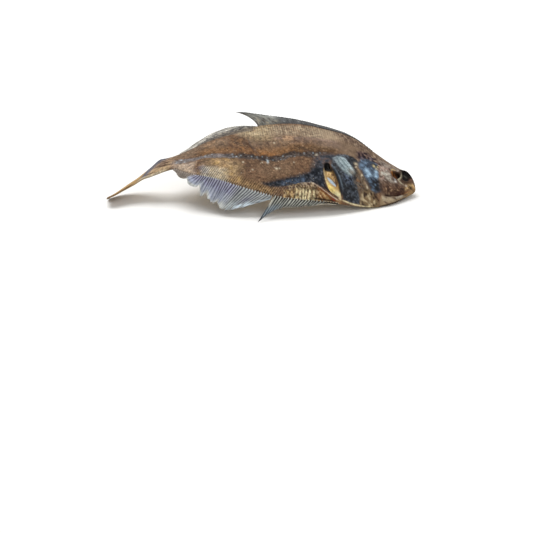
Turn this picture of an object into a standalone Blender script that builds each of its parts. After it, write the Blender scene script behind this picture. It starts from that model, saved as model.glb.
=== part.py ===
"""A dried American plaice, one solid: a right-eyed flatfish lying on its blind side.

The head points to +X and the back, with the dorsal fin, to +Y. The body is a closed skin over sections
that stand at right angles to X. A point of a section is given by its distance behind the snout, its
cross position (-1 at the belly edge, 1 at the back edge) and its height over the section's middle line.
The fins are thin sheets of swept rays, joined to the body by one Boolean union.
Lengths in the tables are millimetres and angles degrees.
"""

import bmesh
import bpy
import numpy as np
from mathutils import Matrix

MM = 0.001

NODE_NAME = "dried_plaice"
SNOUT_X = 104.5
BODY_LENGTH = 208.5  # snout tip to the end of the tail fin
EDGE = 0.9  # half thickness of the body's thin margins
BELLY_FULLNESS = 0.3  # share by which the blind side is thicker towards the belly
LEAST_SHARE = 0.3  # share of the flesh that stays under the deepest relief
FIN_ROOT = 0.5  # half thickness of a fin where it leaves the body
FIN_TIP = 0.28  # half thickness of a fin's outer edge
FIN_SUNK = 2.5  # how far a fin sheet reaches into the body
FIN_RIPPLE = 0.45  # swing of the dried fin's ripples at its outer edge

EYED_ROWS = 24
BLIND_ROWS = 12
FIN_ROWS = 4
# Column spacing along the body: distance behind the snout, spacing
SPACING = ((0, 0.5), (5, 1.2), (62, 1.5), (78, 3.0), (209, 3.6))

SKIN_COLOUR = (0.216, 0.150, 0.095, 1)
SKIN_ROUGHNESS = 0.55

# Sections: distance behind the snout, depth from belly edge to back edge, tilt of that depth line,
# middle of that line (Y, Z), arch of the middle surface as a share of the depth, and the thickness
# of the flesh above (eyed side) and below (blind side) the middle surface.
SECTIONS = (
    (0, 0, 31, 22.0, 4.5, 0.00, 0.0, 0.0),
    (2, 13.4, 31, 23.9, 6.65, 0.03, 2.0, 3.0),
    (5, 20.6, 31, 23.8, 8.0, 0.03, 2.8, 5.0),
    (10, 27.4, 28, 22.2, 8.35, 0.03, 3.5, 8.4),
    (16, 36.4, 26, 20.95, 9.5, 0.035, 4.0, 12.5),
    (28, 50, 28, 20.2, 12.9, 0.04, 4.4, 14.2),
    (42, 62, 28, 20.0, 18.3, 0.045, 4.4, 11.0),
    (60, 71, 24, 20.3, 22.6, 0.045, 4.0, 6.8),
    (80, 76, 22.5, 20.6, 25.6, 0.045, 3.5, 4.6),
    (100, 75, 20, 21.0, 26.6, 0.045, 3.1, 3.8),
    (120, 67, 15, 22.0, 27.4, 0.045, 2.9, 3.4),
    (140, 51, 10, 22.6, 26.6, 0.04, 2.7, 3.0),
    (152, 39.5, 6, 22.6, 24.4, 0.035, 2.6, 2.8),
    (158, 29.5, 5, 22.6, 23.8, 0.03, 2.5, 2.7),
    (164, 18.5, 5, 22.5, 23.4, 0.03, 2.3, 2.5),
    (169, 17.5, 7, 22.3, 22.2, 0.02, 2.1, 2.3),
    (174, 20.5, 6, 22.0, 20.7, 0.02, 1.9, 2.1),
    (179, 20.7, -2, 21.6, 17.6, 0.02, 1.6, 1.7),
    (184, 20, -11, 21.4, 14.4, 0.02, 1.2, 1.3),
    (190, 20.5, -13, 19.6, 10.7, 0.02, 0.9, 0.9),
    (196, 21.5, -14.5, 16.6, 7.8, 0.02, 0.7, 0.7),
    (202, 22, -16.6, 12.3, 5.1, 0.02, 0.55, 0.55),
    (208.5, 19, -19.5, 6.5, 3.2, 0.02, 0.4, 0.4),
)

# Fins: distance of a ray's root behind the snout, how far its tip lies back and out, and the direction
# of out in the section (0 is away from the belly, 90 straight up, -90 straight down).
DORSAL_FRONT = (
    (28.8, 1.3, 1.0, 30),
    (42.4, 2.4, 2.6, 28),
    (52.0, 2.8, 3.3, 28),
    (60.0, 3.8, 4.0, 28),
    (71.2, 4.7, 4.6, 28),
    (85.0, 6.3, 6.3, 28),
    (94.6, 9.3, 8.7, 28),
    (100.1, 11.2, 11.0, 28),
    (104.3, 13.4, 12.8, 28),
    (107.3, 16.6, 13.6, 28),
)
DORSAL_REAR = (
    (108.4, 2.8, 0.6, 28),
    (115.3, 4.2, 2.6, 28),
    (123.6, 4.4, 4.2, 25),
    (133.2, 4.8, 4.0, 22),
    (142.1, 4.5, 2.4, 20),
    (148.2, 3.9, 1.5, 18),
    (153.5, 2.8, 0.9, 15),
    (158.9, 1.7, 0.5, 12),
)
ANAL_FRONT = (
    (54.1, 2.7, 0.5, -120),
    (58.8, 5.2, 1.2, -120),
    (63.4, 6.5, 2.4, -120),
    (68.1, 7.2, 3.7, -120),
    (74.0, 7.9, 4.7, -120),
    (79.9, 8.4, 5.8, -121),
    (85.1, 8.2, 7.2, -123),
    (89.7, 7.9, 9.3, -127),
    (93.6, 8.1, 12.6, -131),
    (96.6, 10.1, 18.2, -136),
)
ANAL_REAR = (
    (97.6, 1.3, 2.0, -110),
    (100.2, 8.8, 5.5, -110),
    (103.4, 14.4, 9.0, -109),
    (109.3, 15.6, 12.5, -107),
    (113.9, 15.3, 14.2, -106),
    (118.2, 13.3, 14.9, -105),
    (122.2, 11.6, 13.9, -104),
    (125.1, 9.1, 12.8, -104),
    (127.8, 7.4, 13.6, -104),
    (130.4, 7.2, 14.9, -104),
    (133.1, 7.6, 12.2, -104),
    (135.7, 5.7, 9.7, -104),
    (138.4, 6.7, 12.1, -104),
    (140.4, 5.3, 5.7, -104),
    (143.1, 5.6, 7.5, -104),
    (145.8, 7.3, 5.2, -104),
    (148.5, 5.7, 1.5, -104),
    (150.8, 3.5, 2.6, -104),
    (153.2, 3.0, 3.1, -104),
    (155.7, 2.3, 3.7, -104),
    (158.1, 1.9, 3.3, -104),
    (160.5, 0.9, 1.9, -104),
    (163.0, 0.7, 1.0, -104),
)
# Each fin's name, rays, body edge, and how its rays bend: the powers of the way back and of the way out
FINS = (
    ("dorsal_front", DORSAL_FRONT, 1, 1.4, 1.5),
    ("dorsal_rear", DORSAL_REAR, 1, 1.6, 1.0),
    ("anal_front", ANAL_FRONT, -1, 1.2, 1.0),
    ("anal_rear", ANAL_REAR, -1, 1.15, 1.0),
)

# Relief. Lines run over the skin through (distance behind the snout, cross position).
LATERAL_LINE = (
    (44.8, 0.32), (50.5, 0.18), (62, 0.08), (73.5, 0.02), (85, -0.10), (92, -0.20), (99.5, -0.22),
    (104, -0.18), (128, -0.19), (142, -0.19), (156, -0.30), (166, -0.50), (184, -0.60),
)
FLANK_CREASE = ((114.5, 0.48), (111.7, 0.20), (107.5, -0.03), (104.2, -0.18))
BELLY_HOLLOW = ((66, -0.46), (76, -0.58), (90, -0.68), (104, -0.80))
BELLY_FLAP = ((85.7, -0.74), (80.5, -0.68), (71.5, -0.64), (67.5, -0.70), (62.8, -0.79), (58, -0.88),
              (52.4, -0.95))
PREOPERCLE = ((41.5, -0.01), (40, -0.15), (37.4, -0.28), (35.1, -0.52), (31.8, -0.66), (28.2, -0.71))
MOUTH = ((23.3, -0.70), (18.7, -0.75), (13.6, -0.78), (6.9, -0.72), (0.5, -0.90))
JAW_JOINT = ((29.9, -0.65), (28.2, -0.76), (25.8, -0.87))
EYE_BRIDGE = ((9.1, 0.48), (10.9, 0.11), (12.4, -0.10))
# Each line's height over the skin, negative for a groove, and its width
EYED_LINES = (
    (LATERAL_LINE, -0.6, 1.8),
    (FLANK_CREASE, -0.5, 1.6),
    (BELLY_HOLLOW, -1.3, 4.0),
    (PREOPERCLE, 0.8, 1.3),
    (EYE_BRIDGE, 0.6, 0.9),
    (MOUTH, -0.9, 0.8),
    (JAW_JOINT, -0.6, 0.9),
)
BLIND_LINES = (
    (LATERAL_LINE, -0.5, 1.8),
    (BELLY_HOLLOW, -0.8, 5.0),
)
FLAP_HEIGHT = 0.8  # the belly wall stands over the flank along the flap's edge
BACK_SWELL = 0.9  # height of the long muscle between the middle and the back edge
COVER_SWELL = 1.3  # height of the gill cover's bulge
# Gill opening: cross position, distance of its front edge (the gill cover) and of its rear edge
GILL = (
    (-0.95, 51.4, 51.6),
    (-0.86, 51.9, 55.6),
    (-0.76, 52.5, 59.5),
    (-0.64, 53.3, 61.4),
    (-0.46, 54.9, 63.0),
    (-0.30, 57.0, 63.2),
    (-0.22, 58.6, 62.0),
    (-0.17, 59.8, 60.0),
)
GILL_DEPTH = 3.2
BLIND_GILL_DEPTH = 1.4
GILL_WALL = 2.0  # width of the opening's sloping walls
GILL_END = 0.04  # share of the depth over which the opening's ends run out
# Pits: distance behind the snout, height over the middle line, half length, half height, depth
UPPER_ORBIT = (6.6, 4.6, 3.7, 5.4, 3.4)
LOWER_ORBIT = (13.5, 3.3, 3.1, 3.4, 2.8)
NOSTRIL = (3.8, -4.6, 0.8, 0.8, 0.6)


def smooth(stops, values, at):
    """A smooth curve through the values at the stops, read at other places."""
    stops, values, at = (np.asarray(item, float) for item in (stops, values, at))
    rise = np.diff(values) / np.diff(stops)
    slope = np.empty_like(values)
    slope[0], slope[-1] = rise[0], rise[-1]
    near, far = np.diff(stops)[:-1], np.diff(stops)[1:]
    slope[1:-1] = (rise[:-1] * far + rise[1:] * near) / (near + far)
    cell = np.clip(np.searchsorted(stops, at, side="right") - 1, 0, len(stops) - 2)
    width = stops[cell + 1] - stops[cell]
    part = np.clip((at - stops[cell]) / width, 0, 1)
    lower = values[cell] * (1 + 2 * part) * (1 - part) ** 2 + slope[cell] * width * part * (1 - part) ** 2
    upper = values[cell + 1] * (3 - 2 * part) * part**2 + slope[cell + 1] * width * part**2 * (part - 1)
    return lower + upper


def section(distance):
    """Depth, tilt, middle Y, middle Z, arch, eyed and blind thickness at a distance behind the snout."""
    table = np.array(SECTIONS, float)
    # The root of the distance makes the snout round: near it every thickness grows as that root.
    stops = np.sqrt(table[:, 0])
    return [smooth(stops, column, np.sqrt(distance)) for column in table[:, 1:].T]


def place(distance, cross, height):
    """World point, in millimetres, of a body position."""
    depth, tilt, mid_y, mid_z, arch, _, _ = section(distance)
    tilt = np.radians(tilt)
    along = depth / 2 * cross
    lift = arch * depth * (1 - cross**2) + height
    x = SNOUT_X - distance + 0 * along
    y = mid_y + along * np.cos(tilt) - lift * np.sin(tilt)
    z = mid_z + along * np.sin(tilt) + lift * np.cos(tilt)
    return np.stack([x, y, z], -1)


def flesh(full, cross):
    """Height of one side's plain surface: flesh in the middle and a thin round margin."""
    margin = np.minimum(EDGE, full)
    return (full - margin) * (1 - cross**2) + margin * np.sqrt(1 - cross**8)


def across(distance, cross):
    """Cross position as millimetres from the body's middle line."""
    return section(distance)[0] / 2 * cross


def line_gap(distance, cross, line):
    """Distance over the skin to a line through the given places, and how far along the line it is met."""
    stops = np.array(line, float)
    points = np.stack([stops[:, 0], across(stops[:, 0], stops[:, 1])], -1)
    here = np.stack([distance, across(distance, cross)], -1)
    nearest = np.full(distance.shape, np.inf)
    along = np.zeros(distance.shape)
    for index, (start, end) in enumerate(zip(points[:-1], points[1:])):
        way = end - start
        share = np.clip((here - start) @ way / (way @ way), 0, 1)
        gap = np.linalg.norm(here - start - share[..., None] * way, axis=-1)
        along = np.where(gap < nearest, (index + share) / (len(points) - 1), along)
        nearest = np.minimum(gap, nearest)
    return nearest, along


def step(low, high, value):
    """0 below low, 1 above high, smooth between."""
    share = np.clip((value - low) / (high - low), 0, 1)
    return share * share * (3 - 2 * share)


def bump(gap, width):
    return np.exp(-((gap / width) ** 2))


def line_bump(distance, cross, line, width):
    """A rounded ridge along a line, fading out at both of its ends."""
    gap, along = line_gap(distance, cross, line)
    return bump(gap, width) * step(-0.02, 0.12, along) * step(-0.02, 0.12, 1 - along)


def pit(distance, cross, shape):
    """A round pit with a low rim."""
    middle, up, half_length, half_height, deep = shape
    reach = np.hypot((distance - middle) / half_length, (across(distance, cross) - up) / half_height)
    return -deep * (1 - step(0.4, 1.15, reach)) + 0.12 * deep * bump(reach - 1.25, 0.22)


def gill_opening(distance, cross):
    """1 inside the gill opening, 0 outside, with sloping walls."""
    crosses, front, rear = np.array(GILL, float).T
    inner = 0.75 * GILL_WALL
    outer = inner - GILL_WALL
    before = step(outer, inner, distance - smooth(crosses, front, cross))
    behind = step(outer, inner, smooth(crosses, rear, cross) - distance)
    low_end = step(crosses[0], crosses[0] + GILL_END, cross)
    high_end = step(-crosses[-1], GILL_END - crosses[-1], -cross)
    return before * behind * low_end * high_end


def gill_cover(distance, cross):
    """Share of the gill cover's swelling: full in the middle of the cover, none behind the opening."""
    crosses, front, _ = np.array(GILL, float).T
    before = smooth(crosses, front, cross) - distance
    return step(-0.4, 0.8, before) * bump(distance - 48, 9) * bump(cross + 0.45, 0.42)


def belly_flap(distance, cross):
    """1 on the belly wall under the flap's edge, 0 above it and far from it."""
    edge = np.array(BELLY_FLAP, float)[::-1]
    below = np.interp(distance, edge[:, 0], edge[:, 1]) - cross
    return step(-0.01, 0.05, below) * step(50, 56, distance) * (1 - step(84, 96, distance))


def back_muscle(distance, cross):
    """Share of the swelling of the long muscle of the back."""
    return bump(cross - 0.5, 0.25) * step(40, 70, distance) * (1 - step(140, 175, distance))


def eyed_relief(distance, cross):
    """Forms of the eyed side that stand over or under its plain flesh."""
    forms = sum(height * line_bump(distance, cross, line, width) for line, height, width in EYED_LINES)
    forms += sum(pit(distance, cross, shape) for shape in (UPPER_ORBIT, LOWER_ORBIT, NOSTRIL))
    forms += FLAP_HEIGHT * belly_flap(distance, cross)
    forms += BACK_SWELL * back_muscle(distance, cross)
    forms += COVER_SWELL * gill_cover(distance, cross)
    forms -= GILL_DEPTH * gill_opening(distance, cross)
    return forms * (1 - cross**6)


def blind_relief(distance, cross):
    """The blind side has a lateral line, a hollow belly and a gill slit too, and no eyes."""
    forms = sum(height * line_bump(distance, cross, line, width) for line, height, width in BLIND_LINES)
    forms -= BLIND_GILL_DEPTH * gill_opening(distance, cross)
    return forms * (1 - cross**6)


def eyed_height(distance, cross):
    plain = flesh(section(distance)[5], cross)
    return np.maximum(plain + eyed_relief(distance, cross), LEAST_SHARE * plain)


def blind_height(distance, cross):
    plain = flesh(section(distance)[6], cross)
    plain = plain * (1 - BELLY_FULLNESS * cross * step(40, 70, distance))
    return -np.maximum(plain + blind_relief(distance, cross), LEAST_SHARE * plain)


def body_columns():
    """Distances behind the snout of the body's columns, close together on the head."""
    places, gaps = np.array(SPACING, float).T
    columns = [gaps[0]]
    while columns[-1] < BODY_LENGTH:
        columns.append(columns[-1] + np.interp(columns[-1], places, gaps))
    return np.array(columns) * BODY_LENGTH / columns[-1]


def grid_faces(rows, columns):
    """Quads over a grid of points numbered column by column."""
    return [
        (c * rows + r, c * rows + r + 1, (c + 1) * rows + r + 1, (c + 1) * rows + r)
        for c in range(columns - 1)
        for r in range(rows - 1)
    ]


def make_object(name, points, faces):
    """A mesh object from points in millimetres, its faces turned outwards."""
    mesh = bpy.data.meshes.new(name)
    mesh.from_pydata((np.asarray(points) * MM).tolist(), [], faces)
    shape = bmesh.new()
    shape.from_mesh(mesh)
    bmesh.ops.recalc_face_normals(shape, faces=shape.faces)
    shape.to_mesh(mesh)
    shape.free()
    made = bpy.data.objects.new(name, mesh)
    bpy.context.scene.collection.objects.link(made)
    return made


def make_body():
    """Rings of eyed and blind points from the snout to the end of the tail."""
    columns = body_columns()
    eyed_cross = -np.cos(np.linspace(0, np.pi, EYED_ROWS + 1))
    blind_cross = np.cos(np.linspace(0, np.pi, BLIND_ROWS + 1))[1:-1]
    ring = len(eyed_cross) + len(blind_cross)
    eyed = np.meshgrid(columns, eyed_cross, indexing="ij")
    blind = np.meshgrid(columns, blind_cross, indexing="ij")
    rings = np.concatenate(
        [place(*eyed, eyed_height(*eyed)), place(*blind, blind_height(*blind))], axis=1
    )
    # What would hang below the resting surface is pressed flat on it.
    rings[..., 2] = np.maximum(rings[..., 2], 0)
    snout = place(np.zeros(1), np.zeros(1), np.zeros(1))
    points = np.concatenate([snout, rings.reshape(-1, 3)])
    faces = []
    for column in range(len(columns) - 1):
        for row in range(ring):
            after = (row + 1) % ring
            start = 1 + column * ring
            faces.append((start + row, start + after, start + ring + after, start + ring + row))
    faces += [(0, 1 + (row + 1) % ring, 1 + row) for row in range(ring)]
    faces.append(tuple(range(len(points) - ring, len(points))))
    return make_object(NODE_NAME, points, faces)


def fin_points(rays, edge, back_power, out_power, columns, rows):
    """Middle surface of a fin: columns along its root, each from inside the body to the ray's tip."""
    table = np.array(rays, float)
    stops = np.arange(len(table))
    index = np.linspace(0, len(table) - 1, columns)
    root, back, out, angle = (smooth(stops, column, index) for column in table.T)
    angle = np.radians(angle)
    sunk = edge * (1 - 2 * FIN_SUNK / section(root)[0])
    still = np.zeros(columns)
    inside = place(root, sunk, still)
    foot = place(root, np.full(columns, float(edge)), still)
    share = np.linspace(0, 1, rows)[:, None, None]
    swept = np.stack([-back, still, still], -1) * share**back_power
    spread = np.stack([still, out * np.cos(angle), out * np.sin(angle)], -1) * (1 - (1 - share) ** out_power)
    sheet = np.concatenate([inside[None], foot + swept + spread])
    return sheet.transpose(1, 0, 2)


def make_fin(name, rays, edge, back_power, out_power):
    """A closed thin sheet: the fin's middle surface pushed out to both sides."""
    columns = 2 * len(rays) + 1
    sheet = fin_points(rays, edge, back_power, out_power, columns, FIN_ROWS + 1)
    rows = sheet.shape[1]
    normal = np.cross(np.gradient(sheet, axis=0), np.gradient(sheet, axis=1))
    normal /= np.linalg.norm(normal, axis=-1, keepdims=True)
    outward = np.concatenate([[0], np.linspace(0, 1, rows - 1)])[None, :, None]
    half = FIN_ROOT + (FIN_TIP - FIN_ROOT) * outward
    ripple = np.sin(np.arange(columns) * 2.1)[:, None, None] * FIN_RIPPLE * outward
    sides = [sheet + normal * (ripple + half), sheet + normal * (ripple - half)]
    points = np.concatenate([side.reshape(-1, 3) for side in sides])
    front = grid_faces(rows, columns)
    other = len(points) // 2
    faces = front + [tuple(corner + other for corner in face) for face in front]
    rim = list(range(rows))
    rim += [c * rows + rows - 1 for c in range(1, columns)]
    rim += [(columns - 1) * rows + r for r in range(rows - 2, -1, -1)]
    rim += [c * rows for c in range(columns - 2, 0, -1)]
    for start, end in zip(rim, rim[1:] + rim[:1]):
        faces.append((start, end, end + other, start + other))
    return make_object(name, points, faces)


def join_fins(body):
    """One Boolean union of the body with all its fins."""
    fins = bpy.data.collections.new("fins")
    bpy.context.scene.collection.children.link(fins)
    for settings in FINS:
        fin = make_fin(*settings)
        bpy.context.scene.collection.objects.unlink(fin)
        fins.objects.link(fin)
    union = body.modifiers.new("union", "BOOLEAN")
    union.operation = "UNION"
    union.operand_type = "COLLECTION"
    union.collection = fins
    # EXACT leaves touching edges where a thin fin runs out of the body's round margin.
    union.solver = "MANIFOLD"
    bpy.context.view_layer.update()
    joined = bpy.data.meshes.new_from_object(body.evaluated_get(bpy.context.evaluated_depsgraph_get()))
    body.modifiers.clear()
    body.data = joined
    for fin in list(fins.objects):
        bpy.data.objects.remove(fin)
    bpy.data.collections.remove(fins)


def centre(body):
    """Puts the origin at the middle of the box's underside."""
    points = np.array([vertex.co for vertex in body.data.vertices])
    low, high = points.min(0), points.max(0)
    middle = (low + high) / 2
    body.data.transform(Matrix.Translation((-middle[0], -middle[1], -low[2])))


def skin_material():
    skin = bpy.data.materials.new("dried_skin")
    skin.use_nodes = True
    shader = skin.node_tree.nodes["Principled BSDF"]
    shader.inputs["Base Color"].default_value = SKIN_COLOUR
    shader.inputs["Roughness"].default_value = SKIN_ROUGHNESS
    shader.inputs["Metallic"].default_value = 0.0
    return skin


def main():
    for old in list(bpy.data.objects):
        bpy.data.objects.remove(old)
    body = make_body()
    join_fins(body)
    centre(body)
    body.data.materials.clear()
    body.data.materials.append(skin_material())
    body.data.shade_smooth()


if __name__ == "__main__":
    main()
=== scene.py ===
"""A dried American plaice on a pale floor.

The fish is built again from the same tables as the solid, on a much finer grid, with the relief of the
dried skin, the bones of the head, the gill opening and the fin rays. Places on the skin are given as
(d, c): the distance behind the snout, and the cross position from -1 at the belly edge to 1 at the back
edge. a is the cross position as a length over the flattened skin, from the body's middle line.
Lengths are millimetres and angles degrees unless a comment says otherwise.
"""

import bpy
import numpy as np
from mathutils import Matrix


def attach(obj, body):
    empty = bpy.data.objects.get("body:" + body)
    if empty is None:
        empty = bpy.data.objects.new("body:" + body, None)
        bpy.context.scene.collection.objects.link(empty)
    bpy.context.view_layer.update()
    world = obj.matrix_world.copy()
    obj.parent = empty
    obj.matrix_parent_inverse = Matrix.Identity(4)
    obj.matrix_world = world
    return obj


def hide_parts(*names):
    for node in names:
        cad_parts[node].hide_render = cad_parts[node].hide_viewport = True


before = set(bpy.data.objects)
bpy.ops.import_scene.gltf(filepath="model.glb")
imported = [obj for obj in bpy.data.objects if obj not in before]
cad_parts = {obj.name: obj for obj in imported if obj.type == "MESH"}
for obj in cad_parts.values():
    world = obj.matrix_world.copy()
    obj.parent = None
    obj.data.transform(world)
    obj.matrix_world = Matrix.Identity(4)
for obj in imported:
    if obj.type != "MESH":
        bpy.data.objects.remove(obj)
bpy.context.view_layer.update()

MM = 0.001
# From the tables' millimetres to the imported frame, whose origin is the middle of the box's underside
SHIFT = np.array((-0.25, -20.3186, 0.0))

SNOUT_X = 104.5
BODY_LENGTH = 208.5
# Half thickness at the edges, extra flesh on the blind belly, the least share of the plain flesh that the
# relief leaves, and how deep the fins' roots sit in the body
EDGE = 0.9
BELLY_FULLNESS = 0.3
LEAST_SHARE = 0.3
FIN_SUNK = 2.5

EYED_ROWS = 132
BLIND_ROWS = 46
SPACING = ((0, 0.22), (4, 0.39), (209, 0.41))

# Distance, depth, tilt, middle Y and Z, arch, eyed and blind thickness
SECTIONS = (
    (0, 0, 31, 22.0, 4.5, 0.00, 0.0, 0.0),
    (2, 13.4, 31, 23.9, 6.65, 0.03, 2.0, 3.0),
    (5, 20.6, 31, 23.8, 8.0, 0.03, 2.8, 5.0),
    (10, 27.4, 28, 22.2, 8.35, 0.03, 3.5, 8.4),
    (16, 36.4, 26, 20.95, 9.5, 0.035, 4.0, 12.5),
    (28, 50, 28, 20.2, 12.9, 0.04, 4.4, 14.2),
    (42, 62, 28, 20.0, 18.3, 0.045, 4.4, 11.0),
    (60, 71, 24, 20.3, 22.6, 0.045, 4.0, 6.8),
    (80, 76, 22.5, 20.6, 25.6, 0.045, 3.5, 4.6),
    (100, 75, 20, 21.0, 26.6, 0.045, 3.1, 3.8),
    (120, 67, 15, 22.0, 27.4, 0.045, 2.9, 3.4),
    (140, 51, 10, 22.6, 26.6, 0.04, 2.7, 3.0),
    (152, 39.5, 6, 22.6, 24.4, 0.035, 2.6, 2.8),
    (158, 29.5, 5, 22.6, 23.8, 0.03, 2.5, 2.7),
    (164, 18.5, 5, 22.5, 23.4, 0.03, 2.3, 2.5),
    (169, 17.5, 7, 22.3, 22.2, 0.02, 2.1, 2.3),
    (174, 20.5, 6, 22.0, 20.7, 0.02, 1.9, 2.1),
    (179, 20.7, -2, 21.6, 17.6, 0.02, 1.6, 1.7),
    (184, 20, -11, 21.4, 14.4, 0.02, 1.2, 1.3),
    (190, 20.5, -13, 19.6, 10.7, 0.02, 0.9, 0.9),
    (196, 21.5, -14.5, 16.6, 7.8, 0.02, 0.7, 0.7),
    (202, 22, -16.6, 12.3, 5.1, 0.02, 0.55, 0.55),
    (208.5, 19, -19.5, 6.5, 3.2, 0.02, 0.4, 0.4),
)

# Fins: distance of a ray's root, how far its tip lies back and out, and the direction of out
DORSAL_FRONT = (
    (28.8, 1.3, 1.0, 30), (42.4, 2.4, 2.6, 28), (52.0, 2.8, 3.3, 28), (60.0, 3.8, 4.0, 28),
    (71.2, 4.7, 4.6, 28), (85.0, 6.3, 6.3, 28), (94.6, 9.3, 8.7, 28), (100.1, 11.2, 11.0, 28),
    (104.3, 13.4, 12.8, 28), (107.3, 16.6, 13.6, 28),
)
DORSAL_REAR = (
    (108.4, 2.8, 0.6, 28), (115.3, 4.2, 2.6, 28), (123.6, 4.4, 4.2, 25), (133.2, 4.8, 4.0, 22),
    (142.1, 4.5, 2.4, 20), (148.2, 3.9, 1.5, 18), (153.5, 2.8, 0.9, 15), (158.9, 1.7, 0.5, 12),
)
ANAL_FRONT = (
    (54.1, 2.7, 0.5, -120), (58.8, 5.2, 1.2, -120), (63.4, 6.5, 2.4, -120), (68.1, 7.2, 3.7, -120),
    (74.0, 7.9, 4.7, -120), (79.9, 8.4, 5.8, -121), (85.1, 8.2, 7.2, -123), (89.7, 7.9, 9.3, -127),
    (93.6, 8.1, 12.6, -131), (96.6, 10.1, 18.2, -136),
)
ANAL_REAR = (
    (97.6, 1.3, 2.0, -110), (100.2, 8.8, 5.5, -110), (103.4, 14.4, 9.0, -109), (109.3, 15.6, 12.5, -107),
    (113.9, 15.3, 14.2, -106), (118.2, 13.3, 14.9, -105), (122.2, 11.6, 13.9, -104),
    (125.1, 9.1, 12.8, -104), (127.8, 7.4, 13.6, -104), (130.4, 7.2, 14.9, -104), (133.1, 7.6, 12.2, -104),
    (135.7, 5.7, 9.7, -104), (138.4, 6.7, 12.1, -104), (140.4, 5.3, 5.7, -104), (143.1, 5.6, 7.5, -104),
    (145.8, 7.3, 5.2, -104), (148.5, 5.7, 1.5, -104), (150.8, 3.5, 2.6, -104), (153.2, 3.0, 3.1, -104),
    (155.7, 2.3, 3.7, -104), (158.1, 1.9, 3.3, -104), (160.5, 0.9, 1.9, -104), (163.0, 0.7, 1.0, -104),
)
RAY_PITCH = 1.55
COLUMNS_A_RAY = 6
FIN_ROWS = 26
# Half thickness of a fin's membrane, which is doubled at its foot, what a ray adds to it, and how much of
# that is lost towards the tip
MEMBRANE = 0.10
RAY_FOOT = 0.34
RAY_TAPER = 0.20
# The material's patterns are read that far apart on the blind side and on the fins
BLIND_APART = 40
FINS_APART = 80
# How strongly the skin's brightness swings from scale to scale, over the fins' bones, in its grain and in
# broad clouds, and the least brightness
SCALE_CONTRAST = 0.26
STRIPE_CONTRAST = 0.62
GRAIN_CONTRAST = 0.55
CLOUD_CONTRAST = 0.35
DARKEST = 0.12
# The scales' stretch, unevenness and joints, the tone of the flecks, and the bump's height in metres
SCALE_STRETCH = (0.62, 0.78, 1.0)
SCALE_CHAOS = 0.75
JOINT_WIDTH = 0.16
FLECK_TONE = (0.6, 0.52, 0.4, 1.0)
RELIEF_HEIGHT = 0.0004

# The floor's half width and the lamps' width in metres
FLOOR_REACH = 6.0
LAMP_SIZE = 0.9
# The camera fitted to the photo
CAMERA_AT = (3.33, -932.7, 362.7)
CAMERA_DOWN = 23.5
FOCAL_PIXELS = 1500
PHOTO_PIXELS = 533
SENSOR = 36.0

# Lines over the eyed side
LATERAL_LINE = (
    (44.8, 0.32), (50.5, 0.18), (62, 0.08), (73.5, 0.03), (85, -0.04), (92, -0.13), (99.5, -0.17),
    (104, -0.16), (128, -0.19), (142, -0.19), (156, -0.3), (166, -0.5), (184, -0.6),
)
FLANK_CREASE = ((114.5, 0.48), (111.7, 0.2), (107.5, -0.03), (104.2, -0.18))
BELLY_HOLLOW = ((66, -0.46), (76, -0.58), (90, -0.68), (104, -0.8))
BELLY_FLAP = (
    (85.7, -0.74), (80.5, -0.68), (71.5, -0.64), (67.5, -0.7), (62.8, -0.79), (58, -0.88), (52.4, -0.95),
)
PREOPERCLE = ((41.5, -0.01), (40, -0.15), (37.4, -0.28), (35.1, -0.52), (31.8, -0.66), (28.2, -0.71))
MOUTH = ((23.3, -0.7), (18.7, -0.75), (13.6, -0.78), (6.9, -0.72), (0.5, -0.9))
JAW_JOINT = ((29.9, -0.65), (28.2, -0.76), (25.8, -0.87))
EYE_BRIDGE = ((9.5, 0.66), (9.6, 0.36), (10.4, 0.08), (12.4, -0.09), (10.4, -0.25), (8.2, -0.35))
COVER_EDGE = ((58.3, -0.16), (55.6, -0.3), (53.0, -0.44), (51.6, -0.61), (50.4, -0.77))
THROAT_EDGE = ((51.5, -0.93), (49.5, -0.94), (46.0, -0.965), (42, -0.98), (36.3, -1.0), (30, -1.0))
GILL_FLESH = ((61.2, -0.345), (58.4, -0.37), (56.0, -0.455), (54.5, -0.565), (53.6, -0.66))
GILL_MEMBRANE = ((60.5, -0.45), (58.8, -0.51), (57.0, -0.565), (55.6, -0.615))
GILL_BONE = (
    (63.0, -0.26), (62.7, -0.44), (61.3, -0.56), (59.6, -0.66), (57.2, -0.735), (55.0, -0.775),
    (53.0, -0.82), (52.2, -0.87),
)
GILL_SHADE = ((64.0, -0.55), (62.5, -0.7), (60.1, -0.78), (56.2, -0.83), (52.6, -0.89))
# Ridges, and grooves under 0, of the eyed side: height, line, width
RIDGES = (
    (-0.6, LATERAL_LINE, 1.8), (-0.5, FLANK_CREASE, 1.6), (-1.3, BELLY_HOLLOW, 4.0), (0.8, PREOPERCLE, 1.0),
    (0.8, EYE_BRIDGE, 0.7), (-0.9, MOUTH, 0.6), (-0.7, JAW_JOINT, 0.8), (-0.8, GILL_SHADE, 0.7),
    (0.35, COVER_EDGE, 0.45), (0.55, THROAT_EDGE, 0.8),
    (-0.5, ((42.6, 0), (41.3, -0.17), (38.8, -0.32), (36.3, -0.56)), 0.6),
    (0.4, ((25, -0.5), (18, -0.55), (10, -0.6), (6, -0.52)), 1.6),
    (-0.35, ((36, -0.72), (33, -0.84), (32, -0.98)), 0.6),
    (-0.3, ((33.5, -0.7), (30, -0.82), (29, -0.96)), 0.6),
    (0.5, ((84, -0.77), (79, -0.7), (71.5, -0.665), (67.5, -0.73), (62, -0.825), (56, -0.93)), 0.55),
)
BEAD_PITCH = 2.3
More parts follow.
